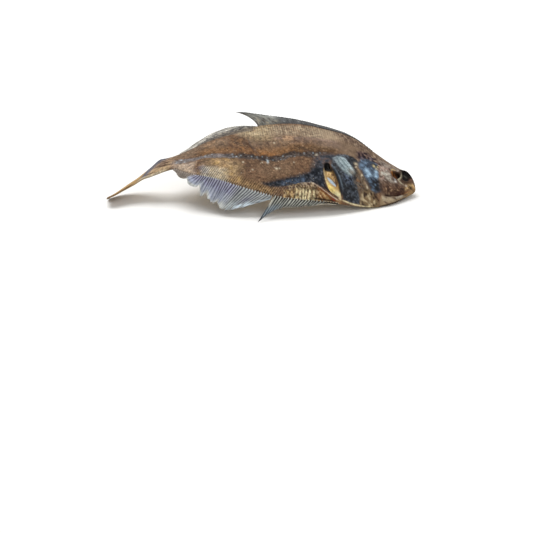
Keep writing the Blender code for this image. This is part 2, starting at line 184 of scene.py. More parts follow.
# The gill opening: cross position, front and rear edge
GILL = (
    (-0.95, 51.4, 51.6), (-0.86, 51.9, 55.6), (-0.76, 52.5, 59.5), (-0.64, 53.3, 61.4),
    (-0.46, 54.9, 63.0), (-0.3, 57.0, 63.2), (-0.22, 58.6, 62.0), (-0.17, 59.8, 60.0),
)
# Folds of the belly wall: distance, strength
FOLDS = ((81.4, 0.5), (79.0, 0.9), (76.9, 1.0), (75.2, 0.8), (72.9, 1.0), (70.1, 0.7))
# Depth of the gill opening on either side
GILL_DEPTH = 3.4
BLIND_GILL_DEPTH = 1.4
# Pits: distance, height over the middle line, half length, half height, depth
UPPER_ORBIT = (6.6, 4.6, 3.7, 5.4, 3.4)
LOWER_ORBIT = (13.5, 3.3, 3.1, 3.4, 2.8)
NOSTRIL = (3.8, -4.6, 0.8, 0.8, 0.6)

# Areas of the eyed side
OPERCLE = (
    (58, -0.2), (55, -0.34), (53, -0.46), (51.8, -0.62), (51, -0.8), (50.5, -0.92), (46, -0.97),
    (39.5, -0.97), (39.3, -0.82), (40.4, -0.64), (41.8, -0.5), (41.8, -0.36), (40.4, -0.2), (40, 0.0),
    (40, 0.12), (43, 0.2), (48, 0.21), (53, 0.17), (57, 0.03),
)
SILVER = (
    (56.2, 0.01), (53.5, 0.09), (50.9, 0.11), (48.5, 0.07), (46.9, -0.01), (43.4, -0.14), (42.0, -0.24),
    (43.8, -0.33), (46.2, -0.38), (48.8, -0.33), (51.2, -0.25), (53.6, -0.13),
)
CHEEK = (
    (40.5, 0.05), (36, 0.3), (30.5, 0.38), (26.2, 0.36), (26.2, 0.0), (26.4, -0.29), (25.0, -0.6),
    (29.5, -0.66), (33, -0.6), (35.6, -0.47), (37.8, -0.25),
)
CHEEK_TOP = ((41, 0.12), (40, 0.46), (34, 0.62), (27, 0.62), (24, 0.42), (25, 0.2), (30, 0.36), (36, 0.28))
CHEEK_DARK = ((31, -0.26), (28.0, -0.12), (24.4, -0.34), (23.6, -0.58), (30.0, -0.66))
FACE = (
    (25, 0.4), (12, 0.66), (9.5, 0.5), (9, -0.3), (8, -0.44), (14, -0.5), (18.5, -0.7), (24, -0.66),
    (25.6, -0.3), (25, 0.1),
)
EYE_RIM = ((23.5, 0.12), (20, 0.24), (17.3, 0.14), (16.4, -0.1), (13.5, -0.18), (16.5, -0.24), (21, -0.14))
SNOUT = ((5.2, -0.14), (0, 0.1), (0, -0.6), (2.7, -0.76), (7.9, -0.66), (7, -0.3))
UPPER_JAW = ((22.5, -0.36), (14.8, -0.42), (8, -0.42), (7.8, -0.6), (13, -0.72), (18.5, -0.72), (23, -0.66))
LOWER_JAW = ((24.7, -0.77), (18, -0.81), (10, -0.83), (6, -0.86), (9, -1.1), (22, -1.1), (26, -0.97))
THROAT = ((38.6, -0.74), (35, -0.6), (29.5, -0.68), (27, -0.74), (26.5, -1.1), (39, -1.1), (39, -0.98))
NAPE = ((58, 1.1), (55, 0.84), (45, 0.66), (30, 0.6), (20, 0.68), (12, 0.8), (9, 1.1))
SHOULDER = (
    (71.5, -0.34), (69.5, -0.1), (65, 0.05), (60, 0.1), (56, 0.14), (53, 0.12), (57.5, -0.12), (60, -0.16),
    (63, -0.24), (63.7, -0.4), (63.5, -0.6), (67, -0.56), (70.5, -0.48),
)
BLUE_BAND = (
    (63.8, -0.24), (69, -0.32), (74, -0.44), (83, -0.54), (95, -0.66), (104, -0.77), (104, -0.79),
    (98.5, -0.8), (89, -0.785), (79, -0.7), (71, -0.65), (67.5, -0.69), (62.5, -0.78), (62.8, -0.6),
)
BLUE_CORE = ((76, -0.53), (84, -0.59), (91, -0.665), (91, -0.725), (84, -0.7), (76, -0.63))
RIB_WALL = ((81, -0.71), (75, -0.66), (68.5, -0.7), (66.5, -0.84), (69, -1.1), (80, -1.1))
BELLY = (
    (90, -0.82), (85.7, -0.75), (80.5, -0.69), (71.5, -0.65), (67.5, -0.71), (62.8, -0.8), (58, -0.89),
    (52.4, -0.96), (53, -1.1), (90, -1.1),
)
BELLY_FRONT = ((68, -0.72), (62.8, -0.8), (58, -0.89), (52.4, -0.96), (53, -1.1), (64, -1.1), (68, -0.9))
BACK = ((44, 0.38), (60, 0.16), (80, 0.08), (100, -0.06), (130, -0.05), (160, -0.12), (172, 1.1), (40, 1.1))
BACK_RIM = (
    (45, 1.1), (49, 0.66), (60, 0.52), (74, 0.5), (90, 0.5), (110, 0.46), (119, 0.56), (124, 0.8),
    (128, 1.1),
)
YELLOW_BACK = ((98, 1.0), (98, 0.36), (108, 0.32), (117, 0.52), (121, 1.0))
OLIVE_BACK = ((84, 0.12), (78, 0.21), (66, 0.27), (54, 0.3), (51, 0.2), (60, 0.1), (72, 0.04))
CREASE_SHADE = ((126, 0.62), (117, 0.46), (110, 0.12), (105, -0.12), (117, -0.1), (128, 0.1))
PALE_PATCH = ((90.5, 0.46), (83, 0.45), (83, 0.34), (89.5, 0.31))
PINK_BACK = ((46, 0.6), (46, 0.36), (60, 0.3), (84, 0.26), (86, 0.4), (70, 0.56))
FLANK_GOLD = (
    (118, -0.5), (122, -0.32), (134, -0.34), (142, -0.42), (144, -0.56), (139, -0.68), (131, -0.9),
    (120, -0.84),
)
PURPLE_SPOT = ((147, -0.66), (143, -0.6), (139, -0.74), (140, -0.92), (144, -0.9))
GREY_REAR = ((148, -0.42), (162, -0.5), (166, -0.9), (160, -1.1), (146, -1.1), (150, -0.7))
# The tail's end: its groups of rays, the notches between them, its rounding, where it frays, its ray height
TAIL_SPLITS = 8
TAIL_NOTCH = 2.6
TAIL_ROUND = 1.3
TAIL_FRAY = (188, BODY_LENGTH)
TAIL_RAY_HEIGHT = 0.16
TAIL_FRINGE = ((163, 1.1), (167, 0.5), (173, 0.1), (179, -0.35), (182, -1.1), (190, -1.1), (190, 1.1))
TAIL_STRIP = ((184, 1.2), (182, 0.5), (186, -1.2), (214, -1.2), (214, 1.2))


def colour(red, green, blue):
    """An 8-bit colour as linear values."""
    share = np.array((red, green, blue)) / 255
    return np.where(share <= 0.04045, share / 12.92, ((share + 0.055) / 1.055) ** 2.4)


BROWN = (108, 82, 62)
TAN = (150, 132, 110)
DORSAL = (124, 103, 84)
GOLD = (176, 148, 98)
PINKISH = (112, 93, 80)
RUST = (126, 86, 46)
DARK_LINE = (78, 70, 66)
SLATE = (62, 67, 76)
# Pale silver, for a fleck on the lateral line and for a painted highlight on the silver patch
SILVER_FLECK_AND_HIGHLIGHT = (190, 206, 212)
# The cheek's blue, partly used as a painted sheen, and the blue-white of its painted highlights
CHEEK_BLUE_AND_SHEEN = (102, 124, 148)
CHEEK_HIGHLIGHT = (174, 204, 228)
CREAM = (206, 188, 134)
BLACK = (14, 12, 12)
NAPE_BROWN = (118, 98, 80)
FACE_BROWN = (108, 91, 80)
DARK_BROWN = (82, 64, 54)
SNOUT_TAN = (160, 128, 84)
BELLY_RUST = (132, 96, 56)
PALE = (196, 184, 160)
PURPLE = (104, 92, 98)
BLIND_CREAM = (196, 178, 142)
BLIND_STAIN = (160, 130, 92)
FIN_GREY = (134, 136, 134)
FIN_DARK = (74, 72, 72)

# Spots on the cheek: blue ones, partly a painted sheen; blue-white painted highlights; cream, pale and
# purple ones. Place, size, tone
CHEEK_MARKS = (
    (33.5, -0.1, 3.4, CHEEK_BLUE_AND_SHEEN), (33.9, -0.08, 1.9, CHEEK_HIGHLIGHT), (31.9, -0.15, 1.4, CHEEK_HIGHLIGHT),
    (33.4, -0.22, 1, CHEEK_HIGHLIGHT), (27.5, 0.03, 1.5, CHEEK_HIGHLIGHT), (27.8, -0.13, 1.6, CHEEK_HIGHLIGHT),
    (36.9, 0.04, 1.8, CHEEK_BLUE_AND_SHEEN), (34.7, 0.17, 1.6, CHEEK_BLUE_AND_SHEEN), (32.4, -0.36, 0.9, CHEEK_BLUE_AND_SHEEN),
    (28.9, 0.21, 1.1, CREAM), (27, 0.14, 0.9, PALE), (26.2, 0.24, 0.7, CREAM), (36.7, 0.3, 1.2, PURPLE),
    (30.4, 0.46, 1.3, PURPLE), (28.5, -0.42, 0.8, CHEEK_BLUE_AND_SHEEN), (30.5, 0.08, 1, CHEEK_BLUE_AND_SHEEN),
    (26.5, -0.1, 1, CHEEK_BLUE_AND_SHEEN), (29.5, -0.25, 0.8, CHEEK_BLUE_AND_SHEEN),
)


def clipped(value):
    return np.clip(value, 0, 1)


def smooth(stops, values, at):
    """A smooth curve through the values at the stops, read at other places."""
    stops, values, at = (np.asarray(item, float) for item in (stops, values, at))
    rise = np.diff(values) / np.diff(stops)
    slope = np.empty_like(values)
    slope[0], slope[-1] = rise[0], rise[-1]
    near, far = np.diff(stops)[:-1], np.diff(stops)[1:]
    slope[1:-1] = (rise[:-1] * far + rise[1:] * near) / (near + far)
    cell = np.clip(np.searchsorted(stops, at, side="right") - 1, 0, len(stops) - 2)
    width = stops[cell + 1] - stops[cell]
    part = clipped((at - stops[cell]) / width)
    lower = values[cell] * (1 + 2 * part) * (1 - part) ** 2 + slope[cell] * width * part * (1 - part) ** 2
    upper = values[cell + 1] * (3 - 2 * part) * part**2 + slope[cell + 1] * width * part**2 * (part - 1)
    return lower + upper


def section(d):
    table = np.array(SECTIONS, float)
    stops = np.sqrt(table[:, 0])
    return [smooth(stops, column, np.sqrt(d)) for column in table[:, 1:].T]


def place(d, c, height):
    """Point of the body, in the tables' millimetres."""
    depth, tilt, mid_y, mid_z, arch, _, _ = section(d)
    tilt = np.radians(tilt)
    along = depth / 2 * c
    lift = arch * depth * (1 - c**2) + height
    x = SNOUT_X - d + 0 * along
    y = mid_y + along * np.cos(tilt) - lift * np.sin(tilt)
    z = mid_z + along * np.sin(tilt) + lift * np.cos(tilt)
    return np.stack([x, y, z], -1)


def flesh(full, c):
    margin = np.minimum(EDGE, full)
    return (full - margin) * (1 - c**2) + margin * np.sqrt(1 - c**8)


def across(d, c):
    return section(d)[0] / 2 * c


def on_skin(line):
    """Places given by cross position, as millimetres over the flattened skin."""
    line = np.array(line, float)
    return np.stack([line[:, 0], across(line[:, 0], line[:, 1])], -1)


def line_gap(d, c, line):
    """Distance over the skin to a line, and how far along the line it is met."""
    points = on_skin(line)
    here = np.stack([d, across(d, c)], -1)
    nearest = np.full(d.shape, np.inf)
    along = np.zeros(d.shape)
    for index, (start, end) in enumerate(zip(points[:-1], points[1:])):
        way = end - start
        share = clipped((here - start) @ way / max(way @ way, 1e-09))
        gap = np.linalg.norm(here - start - share[..., None] * way, axis=-1)
        along = np.where(gap < nearest, (index + share) / (len(points) - 1), along)
        nearest = np.minimum(gap, nearest)
    return nearest, along


def step(low, high, value):
    share = clipped((value - low) / (high - low))
    return share * share * (3 - 2 * share)


def fall(low, high, value):
    """1 under low and 0 over high."""
    return 1 - step(low, high, value)


def span(value, low, full, still, high):
    """Rises from low to full and falls again from still to high."""
    return step(low, full, value) * fall(still, high, value)


def bump(gap, width):
    return np.exp(-((gap / width) ** 2))


def line_bump(d, c, line, width):
    """A rounded ridge along a line, fading out at both of its ends."""
    gap, along = line_gap(d, c, line)
    return bump(gap, width) * step(-0.02, 0.12, along) * step(-0.02, 0.12, 1 - along)


def height_over(d, c, line):
    """Millimetres over a line that runs along the body."""
    points = on_skin(line)
    return across(d, c) - np.interp(d, points[:, 0], points[:, 1])


def area(d, c, outline, soft):
    """1 inside an outline, 0 outside, with an edge as wide as soft in millimetres."""
    gap, _ = line_gap(d, c, tuple(outline) + (outline[0],))
    corners = on_skin(outline)
    a = across(d, c)
    inside = np.zeros(d.shape, bool)
    for (x0, y0), (x1, y1) in zip(corners, np.roll(corners, -1, 0)):
        if y0 == y1:
            continue
        crossing = (y0 > a) != (y1 > a)
        inside ^= crossing & (d < (x1 - x0) * (a - y0) / (y1 - y0) + x0)
    return step(-soft / 2, soft / 2, np.where(inside, gap, -gap))


def noise(x, y, size, seed):
    """Smooth noise from -1 to 1 with forms as large as size."""
    table = np.random.default_rng(seed).uniform(-1, 1, (64, 64))
    x, y = x / size + 17.3, y / size + 31.7
    column, row = np.floor(x).astype(int), np.floor(y).astype(int)
    u, v = x - column, y - row
    u, v = u * u * (3 - 2 * u), v * v * (3 - 2 * v)
    corner = [[table[(column + i) % 64, (row + j) % 64] for j in (0, 1)] for i in (0, 1)]
    return (corner[0][0] * (1 - u) + corner[1][0] * u) * (1 - v) + (
        corner[0][1] * (1 - u) + corner[1][1] * u
    ) * v


def layered(x, y, size, seed, layers=3):
    """Noise with finer and fainter layers."""
    total = sum(noise(x, y, size / 2**n, seed + n) / 1.7**n for n in range(layers))
    return total / sum(1 / 1.7**n for n in range(layers))


def dots(x, y, gap, radius, share, seed):
    """Scattered round dots, 1 inside and 0 outside. share is how many places have one."""
    east, north, there = np.random.default_rng(seed).uniform(0, 1, (3, 64, 64))
    x, y = x / gap + 11.2, y / gap + 23.4
    column, row = np.floor(x).astype(int), np.floor(y).astype(int)
    found = np.zeros(x.shape)
    for i in (-1, 0, 1):
        for j in (-1, 0, 1):
            cell = (column + i) % 64, (row + j) % 64
            away = gap * np.hypot(x - column - i - east[cell], y - row - j - north[cell])
            found = np.maximum(found, (there[cell] < share) * fall(0.5 * radius, radius, away))
    return found


def streaks(x, y, size, stretch, turn, seed):
    """Noise drawn out along a direction: turn degrees from the body's length towards its back edge."""
    turn = np.radians(turn)
    along, aside = x * np.cos(turn) + y * np.sin(turn), y * np.cos(turn) - x * np.sin(turn)
    return layered(along / stretch, aside, size, seed, 2)


def pit(d, c, shape):
    """A round pit with a raised rim."""
    middle, up, half_length, half_height, deep = shape
    reach = np.hypot((d - middle) / half_length, (across(d, c) - up) / half_height)
    return -deep * fall(0.55, 1.05, reach) + 0.16 * deep * bump(reach - 1.2, 0.18)


def gill_opening(d, c, wall, grown=0.0):
    crosses, front, rear = np.array(GILL, float).T
    before = step(-0.25 * wall, 0.75 * wall, d - smooth(crosses, front, c) + grown)
    behind = step(-0.25 * wall, 0.75 * wall, smooth(crosses, rear, c) - d)
    return before * behind * step(-0.95, -0.91, c) * step(0.16, 0.20, 0.02 * grown - c)


def gill_cover(d, c):
    crosses, front, _ = np.array(GILL, float).T
    before = smooth(crosses, front, c) - d
    return step(-0.4, 0.5, before) * bump(d - 48, 9) * bump(c + 0.45, 0.42)


def belly_flap(d, c):
    edge = np.array(BELLY_FLAP, float)[::-1]
    below = np.interp(d, edge[:, 0], edge[:, 1]) - c
    return step(-0.005, 0.025, below) * span(d, 50, 56, 84, 96)


def back_stripes(d, c):
    """Ridges over the bones that carry the dorsal fin's rays, from -1 to 1."""
    lean = 0.10 * across(d, c)
    return np.sin(2 * np.pi * (d - lean) / RAY_PITCH)


def belly_stripes(d, c):
    """The same for the anal fin, leaning back towards the belly edge."""
    lean = 0.55 * across(d, c)
    return np.sin(2 * np.pi * (d + lean) / RAY_PITCH)


def back_stripe_share(d, c):
    patch = 0.8 + 0.5 * layered(d, across(d, c), 9, 41)
    return clipped(step(0.4, 0.66, c) * span(d, 14, 50, 108, 126) * patch)


def belly_stripe_share(d, c):
    patch = 0.8 + 0.5 * layered(d, across(d, c), 8, 43)
    low = step(0.66, 0.9, -c - 0.2 * step(120, 132, d))
    return clipped(low * span(d, 76, 92, 146, 158) * patch)


def belly_folds(d, c):
    """Bright upright folds of the belly wall."""
    a = across(d, c)
    bent = d + 0.5 * noise(d, a, 3, 45) + 0.12 * (a + 32)
    folds = sum(size * bump(bent - at, 0.55) for at, size in FOLDS)
    return folds * step(0.78, 0.85, -c) * (0.95 + 0.5 * noise(d, a, 1.4, 47))


def eyed_relief(d, c):
    """Forms of the eyed side over or under its plain flesh."""
    a = across(d, c)

    def ridge(line, width):
        return line_bump(d, c, line, width)

    def inside(outline, soft):
        return area(d, c, outline, soft)

    forms = sum(size * ridge(line, width) for size, line, width in RIDGES)
    forms += sum(pit(d, c, shape) for shape in (UPPER_ORBIT, LOWER_ORBIT, NOSTRIL))
    forms += 0.9 * belly_flap(d, c) + 1.3 * gill_cover(d, c)
    forms += 0.9 * bump(c - 0.5, 0.25) * span(d, 40, 70, 140, 175)
    opening = gill_opening(d, c, 1.1)
    forms += opening * (1.5 * ridge(GILL_FLESH, 1.2) + 1.2 * ridge(GILL_MEMBRANE, 1) - GILL_DEPTH)
    gap, along = line_gap(d, c, GILL_BONE)
    forms += 2.5 * bump(gap, 0.4 + 1.3 * step(0.1, 0.6, along)) * step(-0.25, 0.1, along) * opening
    forms += 0.35 * inside(SILVER, 0.8) + 0.45 * inside(LOWER_JAW, 1.6)
    forms += 0.7 * inside(CHEEK, 3.5) * (0.6 + 0.4 * noise(d, a, 5, 7))
    forms += 0.30 * fall(50, 66, d) * layered(d, a, 2.8, 11)
    forms += 0.22 * inside(NAPE, 4) * noise(d, a, 1.5, 12)
    trunk = step(54, 70, d)
    forms += trunk * (0.30 * layered(d / 1.6, a, 7, 21) + 0.10 * layered(d, a, 2, 25))
    uneven = 0.3 * back_stripes(d, c) + 0.9 * noise(d - 0.1 * a, a / 7, 1.5, 111)
    forms += 0.22 * uneven * back_stripe_share(d, c)
    forms += 0.20 * belly_stripes(d, c) * belly_stripe_share(d, c)
    forms += 0.5 * belly_folds(d, c)
    forms += 0.16 * np.sin(2 * np.pi * d / BEAD_PITCH) * ridge(LATERAL_LINE, 0.8)
    forms += 0.28 * inside(BLUE_BAND, 2.5) * layered(d, a, 2.6, 31)
    return forms * (1 - c**6)


def blind_relief(d, c):
    a = across(d, c)
    forms = -0.5 * line_bump(d, c, LATERAL_LINE, 1.8)
    forms -= 0.8 * line_bump(d, c, BELLY_HOLLOW, 5)
    opening = gill_opening(d, c, 1.6)
    forms -= BLIND_GILL_DEPTH * opening
    forms += 0.22 * layered(d, a, 6, 51) + 0.09 * layered(d, a, 2, 55)
    forms += 0.14 * back_stripes(d, c) * back_stripe_share(d, c)
    forms += 0.14 * belly_stripes(d, c) * belly_stripe_share(d, c)
    forms += 0.5 * line_bump(d, c, PREOPERCLE, 1.2)
    forms -= 0.6 * line_bump(d, c, MOUTH, 0.7)
    return forms * (1 - c**6)


def tail_rays(d, c):
    """1 on a ray of the tail fin and -1 between two rays."""
    return np.cos(2 * np.pi * TAIL_SPLITS * (c + 1)) * step(178, 190, d)


def eyed_height(d, c):
    plain = flesh(section(d)[5], c)
    relief = eyed_relief(d, c) + TAIL_RAY_HEIGHT * tail_rays(d, c)
    return np.maximum(plain + relief, LEAST_SHARE * plain)


def blind_height(d, c):
    plain = flesh(section(d)[6], c)
    plain = plain * (1 - BELLY_FULLNESS * c * step(40, 70, d))
    relief = blind_relief(d, c) + TAIL_RAY_HEIGHT * tail_rays(d, c)
    return -np.maximum(plain + relief, LEAST_SHARE * plain)


class Paint:
    """Colour and traits of a surface, laid on in layers over places d and a, with cross positions c."""

    TRAITS = ("scales", "flecks", "gloss", "back", "belly", "grain")

    def __init__(self, base, d, a=None, c=None):
        self.places = d, c, a
        self.tools = self.lay, self.speckle, self.spot, self.inside, self.ridge
        self.tone = np.tile(colour(*base), d.shape + (1,))
        for trait in self.TRAITS:
            setattr(self, trait, np.zeros(d.shape))

    def lay(self, tone, share):
        if isinstance(tone, tuple):
            tone = colour(*tone)
        self.tone = self.tone + (tone - self.tone) * clipped(share)[..., None]

    def speckle(self, pattern, mask, *layers):
        """Lays each (tone, share, slope, start) where slope times the pattern, plus start, is over 0."""
        for tone, share, slope, *start in layers:
            self.lay(tone, share * mask * clipped(slope * pattern + sum(start)))

    def shade(self, factor):
        self.tone = self.tone * factor[..., None]

    def spot(self, at, up, width, height=None):
        d, _, a = self.places
        return bump(np.hypot((d - at) / width, (a - up) / (height or width)), 1)

    def inside(self, outline, soft):
        d, c, _ = self.places
        return area(d, c, outline, soft)

    def ridge(self, line, width):
        d, c, _ = self.places
        return line_bump(d, c, line, width)


def shared_noise(d, a):
    """The soft and the fine unevenness that many layers share."""
    return layered(d, a, 5, 105), layered(d, a, 1.8, 109, 2)


def paint_trunk(skin):
    """Back, flank and the line along the middle, behind the head."""
    d, c, a = skin.places
    lay, speckle, spot, inside, ridge = skin.tools
    middle, fine = shared_noise(d, a)
    upright = 0.9 * noise(d - 0.1 * a, a / 6, 1.1, 111)
    upright = upright + 0.7 * back_stripes(d, c) * (0.7 + 0.6 * noise(d, a, 5, 195))
    lay(DORSAL, 0.95 * inside(BACK, 7))
    lay(PINKISH, 0.95 * inside(PINK_BACK, 6))
    # The back's rim: its own tan, painted lighter as the part that the light from above falls on.
    rim = inside(BACK_RIM, 7)
    lay(TAN, (0.95 + 0.25 * middle) * rim)
    lay((168, 148, 114), (0.7 + 0.4 * middle) * inside(YELLOW_BACK, 10))
    upward = height_over(d, c, LATERAL_LINE)
    rusty = span(d, 62, 76, 142, 154) * step(-1, 0.5, upward)
    lay((122, 88, 56), (0.9 + 0.4 * middle) * rusty * fall(6, 15, upward + 3 * middle))
    # A painted highlight in the rust band above the lateral line.
    lay((150, 104, 62), 0.75 * bump(np.hypot((d - 104) / 9, (upward - 3.5) / 2.6), 1))
    rows = streaks(d, a, 1.7, 3.5, 70, 189)
    speckle(rows, rusty, ((150, 116, 84), 0.5, 1.5, -0.15), ((82, 56, 38), 0.6, -1.5, -0.2))
    lay((88, 66, 46), (0.95 + 0.4 * middle) * inside(OLIVE_BACK, 5))
    patches = inside(FLANK_GOLD, 9)
    lay((188, 160, 120), (0.85 + 0.5 * middle) * patches)
    lay(GOLD, 0.3 * step(0.7, 0.95, -c) * span(d, 88, 100, 150, 158))
    lay((122, 97, 76), 0.75 * inside(((84, -0.2), (84, -0.5), (100, -0.66), (110, -0.5), (104, -0.26)), 7))
    speckle(layered(d, a, 5, 149), patches, ((204, 164, 84), 0.65, 1.5))
    speckle(layered(d, a, 3.4, 149), patches, ((112, 82, 56), 0.65, -1.6, -0.1))
    lay((186, 166, 146), 0.85 * inside(GREY_REAR, 4))
    lay(PURPLE, 0.9 * inside(PURPLE_SPOT, 3))
    speckle(middle, step(0.35, 0.6, -c) * span(d, 138, 144, 160, 166), ((104, 88, 100), 0.55, 1, 0.2))
    upright = upright * step(50, 74, d)
    # Light upright streaks on the rim, partly painted highlights, and dark ones.
    speckle(upright, rim * (0.75 + 0.6 * middle), ((184, 168, 142), 0.7, 1))
    speckle(upright, rim, ((110, 92, 76), 0.65, -1, -0.1))
    # A painted highlight along the raised ridge of the back.
    lay((150, 126, 114), 0.4 * ridge(((98, 0.39), (88, 0.4), (76, 0.43), (64, 0.47), (52, 0.52)), 1.4))
    lay((190, 154, 120), 0.75 * inside(PALE_PATCH, 2.5))
    lay((98, 80, 66), 0.5 * spot(74, across(74, 0.64), 4.2, 3))
    lay((104, 86, 74), 0.7 * ridge(((168, -0.66), (160, -0.54), (149, -0.38)), 1.1))
    # Dark flesh shows through in blotches. The crease in the flank is painted darker as shade, with
    # rust-brown strokes and a dark line along it.
    lay(DARK_BROWN, 0.55 * step(0.1, 0.6, layered(d, a, 6, 141)) * (1 - rim))
    strokes = streaks(d, a, 1.7, 4, 62, 113)
    shade = inside(CREASE_SHADE, 6)
    lay((84, 58, 42), 0.55 * shade)
    speckle(strokes, shade, ((74, 46, 30), 1.4, 1, 0.12), ((168, 122, 76), 0.7, -1, -0.1))
    lay(DARK_LINE, 0.45 * ridge(FLANK_CREASE, 0.8))
    lay((178, 148, 114), 0.25 * (1 - rim) * dots(d, a, 2.4, 0.9, 0.4, 143))
    lay((58, 40, 30), 0.3 * (1 - rim) * dots(d, a, 2.1, 0.8, 0.5, 145))
    # Margins at the fins' feet
    lay(DARK_LINE, 0.85 * step(0.972, 0.996, c) * span(d, 30, 60, 104, 110) * (1 - 0.6 * step(66, 74, d)))
    rear_rim = step(0.7, 0.8, c + 0.06 * middle) * span(d, 106, 114, 148, 156)
    lay((104, 96, 88), 0.85 * rear_rim)
    speckle(fine, rear_rim, ((52, 50, 50), 0.9, 1, 0.1), ((170, 160, 140), 0.7, -1, -0.15))
    foot = span(d, 84, 92, 160, 166)
    dashes = clipped(0.55 - belly_stripes(d, c))
    lay(DARK_LINE, 0.95 * step(0.92, 0.97, -c) * foot * dashes)
    bright = step(0.55, 0.7, -c) * span(d, 124, 130, 142, 147)
    speckle(belly_stripes(d, c), bright, ((192, 190, 174), 0.95, 1.5))
    # The lateral line: a broad dark mottled band with few silver scales, paler towards the tail
    over = height_over(d, c, LATERAL_LINE)
    run = span(d, 56, 70, 170, 182)
    rear = step(116, 134, d)
    torn = over + 1.7 * layered(d, a, 3.2, 115)
    band = span(torn, -3.9 + 0.9 * rear, -1.8 + 0.9 * rear, 1.2, 2.6)
    grey = colour(70, 62, 58) * (1 - rear[..., None]) + colour(128, 122, 122) * rear[..., None]
    lay(grey, 0.85 * run * band)
    mottle = noise(d, over, 1.25, 117)
    speckle(mottle, run * band * (1 - 0.55 * rear), ((40, 38, 40), 1.1, 1))
    speckle(mottle, run * band, ((124, 122, 122), 0.9, -1, -0.15))
    lay((52, 42, 38), 0.8 * run * bump(torn - 1.9, 0.9) * (0.65 + 0.7 * middle) * (1 - 0.7 * rear))
    white = run * band * dots(d, over, 2.6, 0.8, 0.4, 147)
    lay((176, 184, 190), 0.8 * white * step(108, 128, d))
    lay((150, 160, 166), 0.6 * white * fall(108, 128, d))
    lay(SILVER_FLECK_AND_HIGHLIGHT, 0.95 * spot(100.3, -9.6, 0.6875, 1.65))
    for at, up, size in ((94.5, -0.41, 0.9), (92.6, -0.4, 0.6), (67.7, 0.03, 0.8), (116.7, -0.36, 0.7),
                         (95.9, 0.26, 0.6), (82.9, -0.24, 0.5), (110.3, -0.52, 0.6), (104, -0.3, 0.5)):
        lay(PALE, spot(at, across(at, up), size))


def paint_belly(skin):
    """Slate shoulder, blue band and belly wall."""
    d, c, a = skin.places
    lay, speckle, spot, inside, ridge = skin.tools
    middle, fine = shared_noise(d, a)
    shoulder = inside(SHOULDER, 5)
    lay(SLATE, (0.9 + 0.4 * middle) * shoulder)
    speckle(fine, shoulder, ((98, 74, 58), 0.6, 2), ((30, 32, 36), 0.8, -2))
    band = inside(BLUE_BAND, 3.4)
    lay((40, 45, 53), (1.05 + 0.35 * fine) * band)
    speckle(noise(d, a, 1.1, 151), band, ((20, 23, 28), 0.9, 2), ((96, 100, 108), 0.7, -2, -0.6))
    lay((82, 96, 116), (0.55 + 0.8 * fine) * inside(BLUE_CORE, 2.4))
    belly = inside(BELLY, 1.2)
    upright = streaks(d, a, 1.15, 3.5, 96, 153)
    lay((138, 110, 76), 0.95 * belly)
    crumbs = noise(d, a / 1.3, 0.8, 185)
    speckle(upright, belly * span(d, 62, 68, 80, 94), ((206, 184, 136), 0.9, 1.6))
    speckle(upright, belly * step(62, 68, d), ((62, 44, 36), 1, -1.8, -0.1))
    spotted = belly * step(74, 80, d)
    cells = layered(d, a / 1.3, 1.6, 197, 2)
    lay((118, 92, 64), 0.8 * spotted)
    speckle(cells, spotted, ((204, 172, 120), 0.8, 2.6, -0.25), ((70, 50, 42), 0.9, -2.6, -0.25))
    bruise = ((93, -0.74), (84, -0.62), (74, -0.58), (65, -0.66), (66, -0.77), (78, -0.79), (90, -0.86))
    lay((84, 66, 58), (0.9 + 0.9 * cells) * (belly * inside(bruise, 2.5)))
    lay((190, 168, 120), 0.8 * belly * dots(d * 1.2, a, 2.2, 0.9, 0.35, 159) * step(66, 70, d))
    lay((118, 80, 44), (0.9 + 0.4 * middle) * inside(BELLY_FRONT, 4))
    slant = streaks(d, a, 1.3, 4, 45, 157)
    speckle(slant, inside(BELLY_FRONT, 3), ((54, 30, 20), 1.2, 1.8), ((198, 168, 120), 0.9, -1.8, -0.3))
    lay((80, 62, 46), 0.7 * inside(RIB_WALL, 2.5))
    lay((238, 226, 180), 1.15 * belly_folds(d, c))
    speckle(crumbs, belly * step(60, 66, d), ((214, 190, 150), 0.45, 2, -0.2))
    speckle(crumbs, belly, ((62, 46, 38), 0.5, -2, -0.2))
    torn = ridge(((79, -0.7), (75, -0.675), (71.5, -0.665), (67, -0.73)), 1.5)
    speckle(noise(d, a, 1, 187), torn, ((206, 188, 170), 0.6, 2.2), ((70, 46, 40), 0.8, -2.2, -0.2))
    lay((104, 62, 34), 0.75 * ridge(((67, -0.75), (61.5, -0.855), (56, -0.945)), 1.5))
    # A painted highlight along the raised edge of the belly flap.
    edge = ((80, -0.69), (71.5, -0.65), (67.5, -0.715), (62.8, -0.805), (58, -0.895), (53, -0.95))
    lay((226, 208, 188), 1 * ridge(edge, 0.42) * (0.85 + 0.5 * fine))
    lay((150, 60, 40), 0.8 * spot(57, -33.2, 0.9))
    # A painted shadow in the gap above the pale edge at the belly's front.
    lay(BLACK, 0.95 * ridge(((71, -0.955), (64, -0.965), (56, -0.975)), 0.55))
    lay(PALE, 0.8 * ridge(((64, -0.995), (59, -1), (53, -0.99)), 0.4))


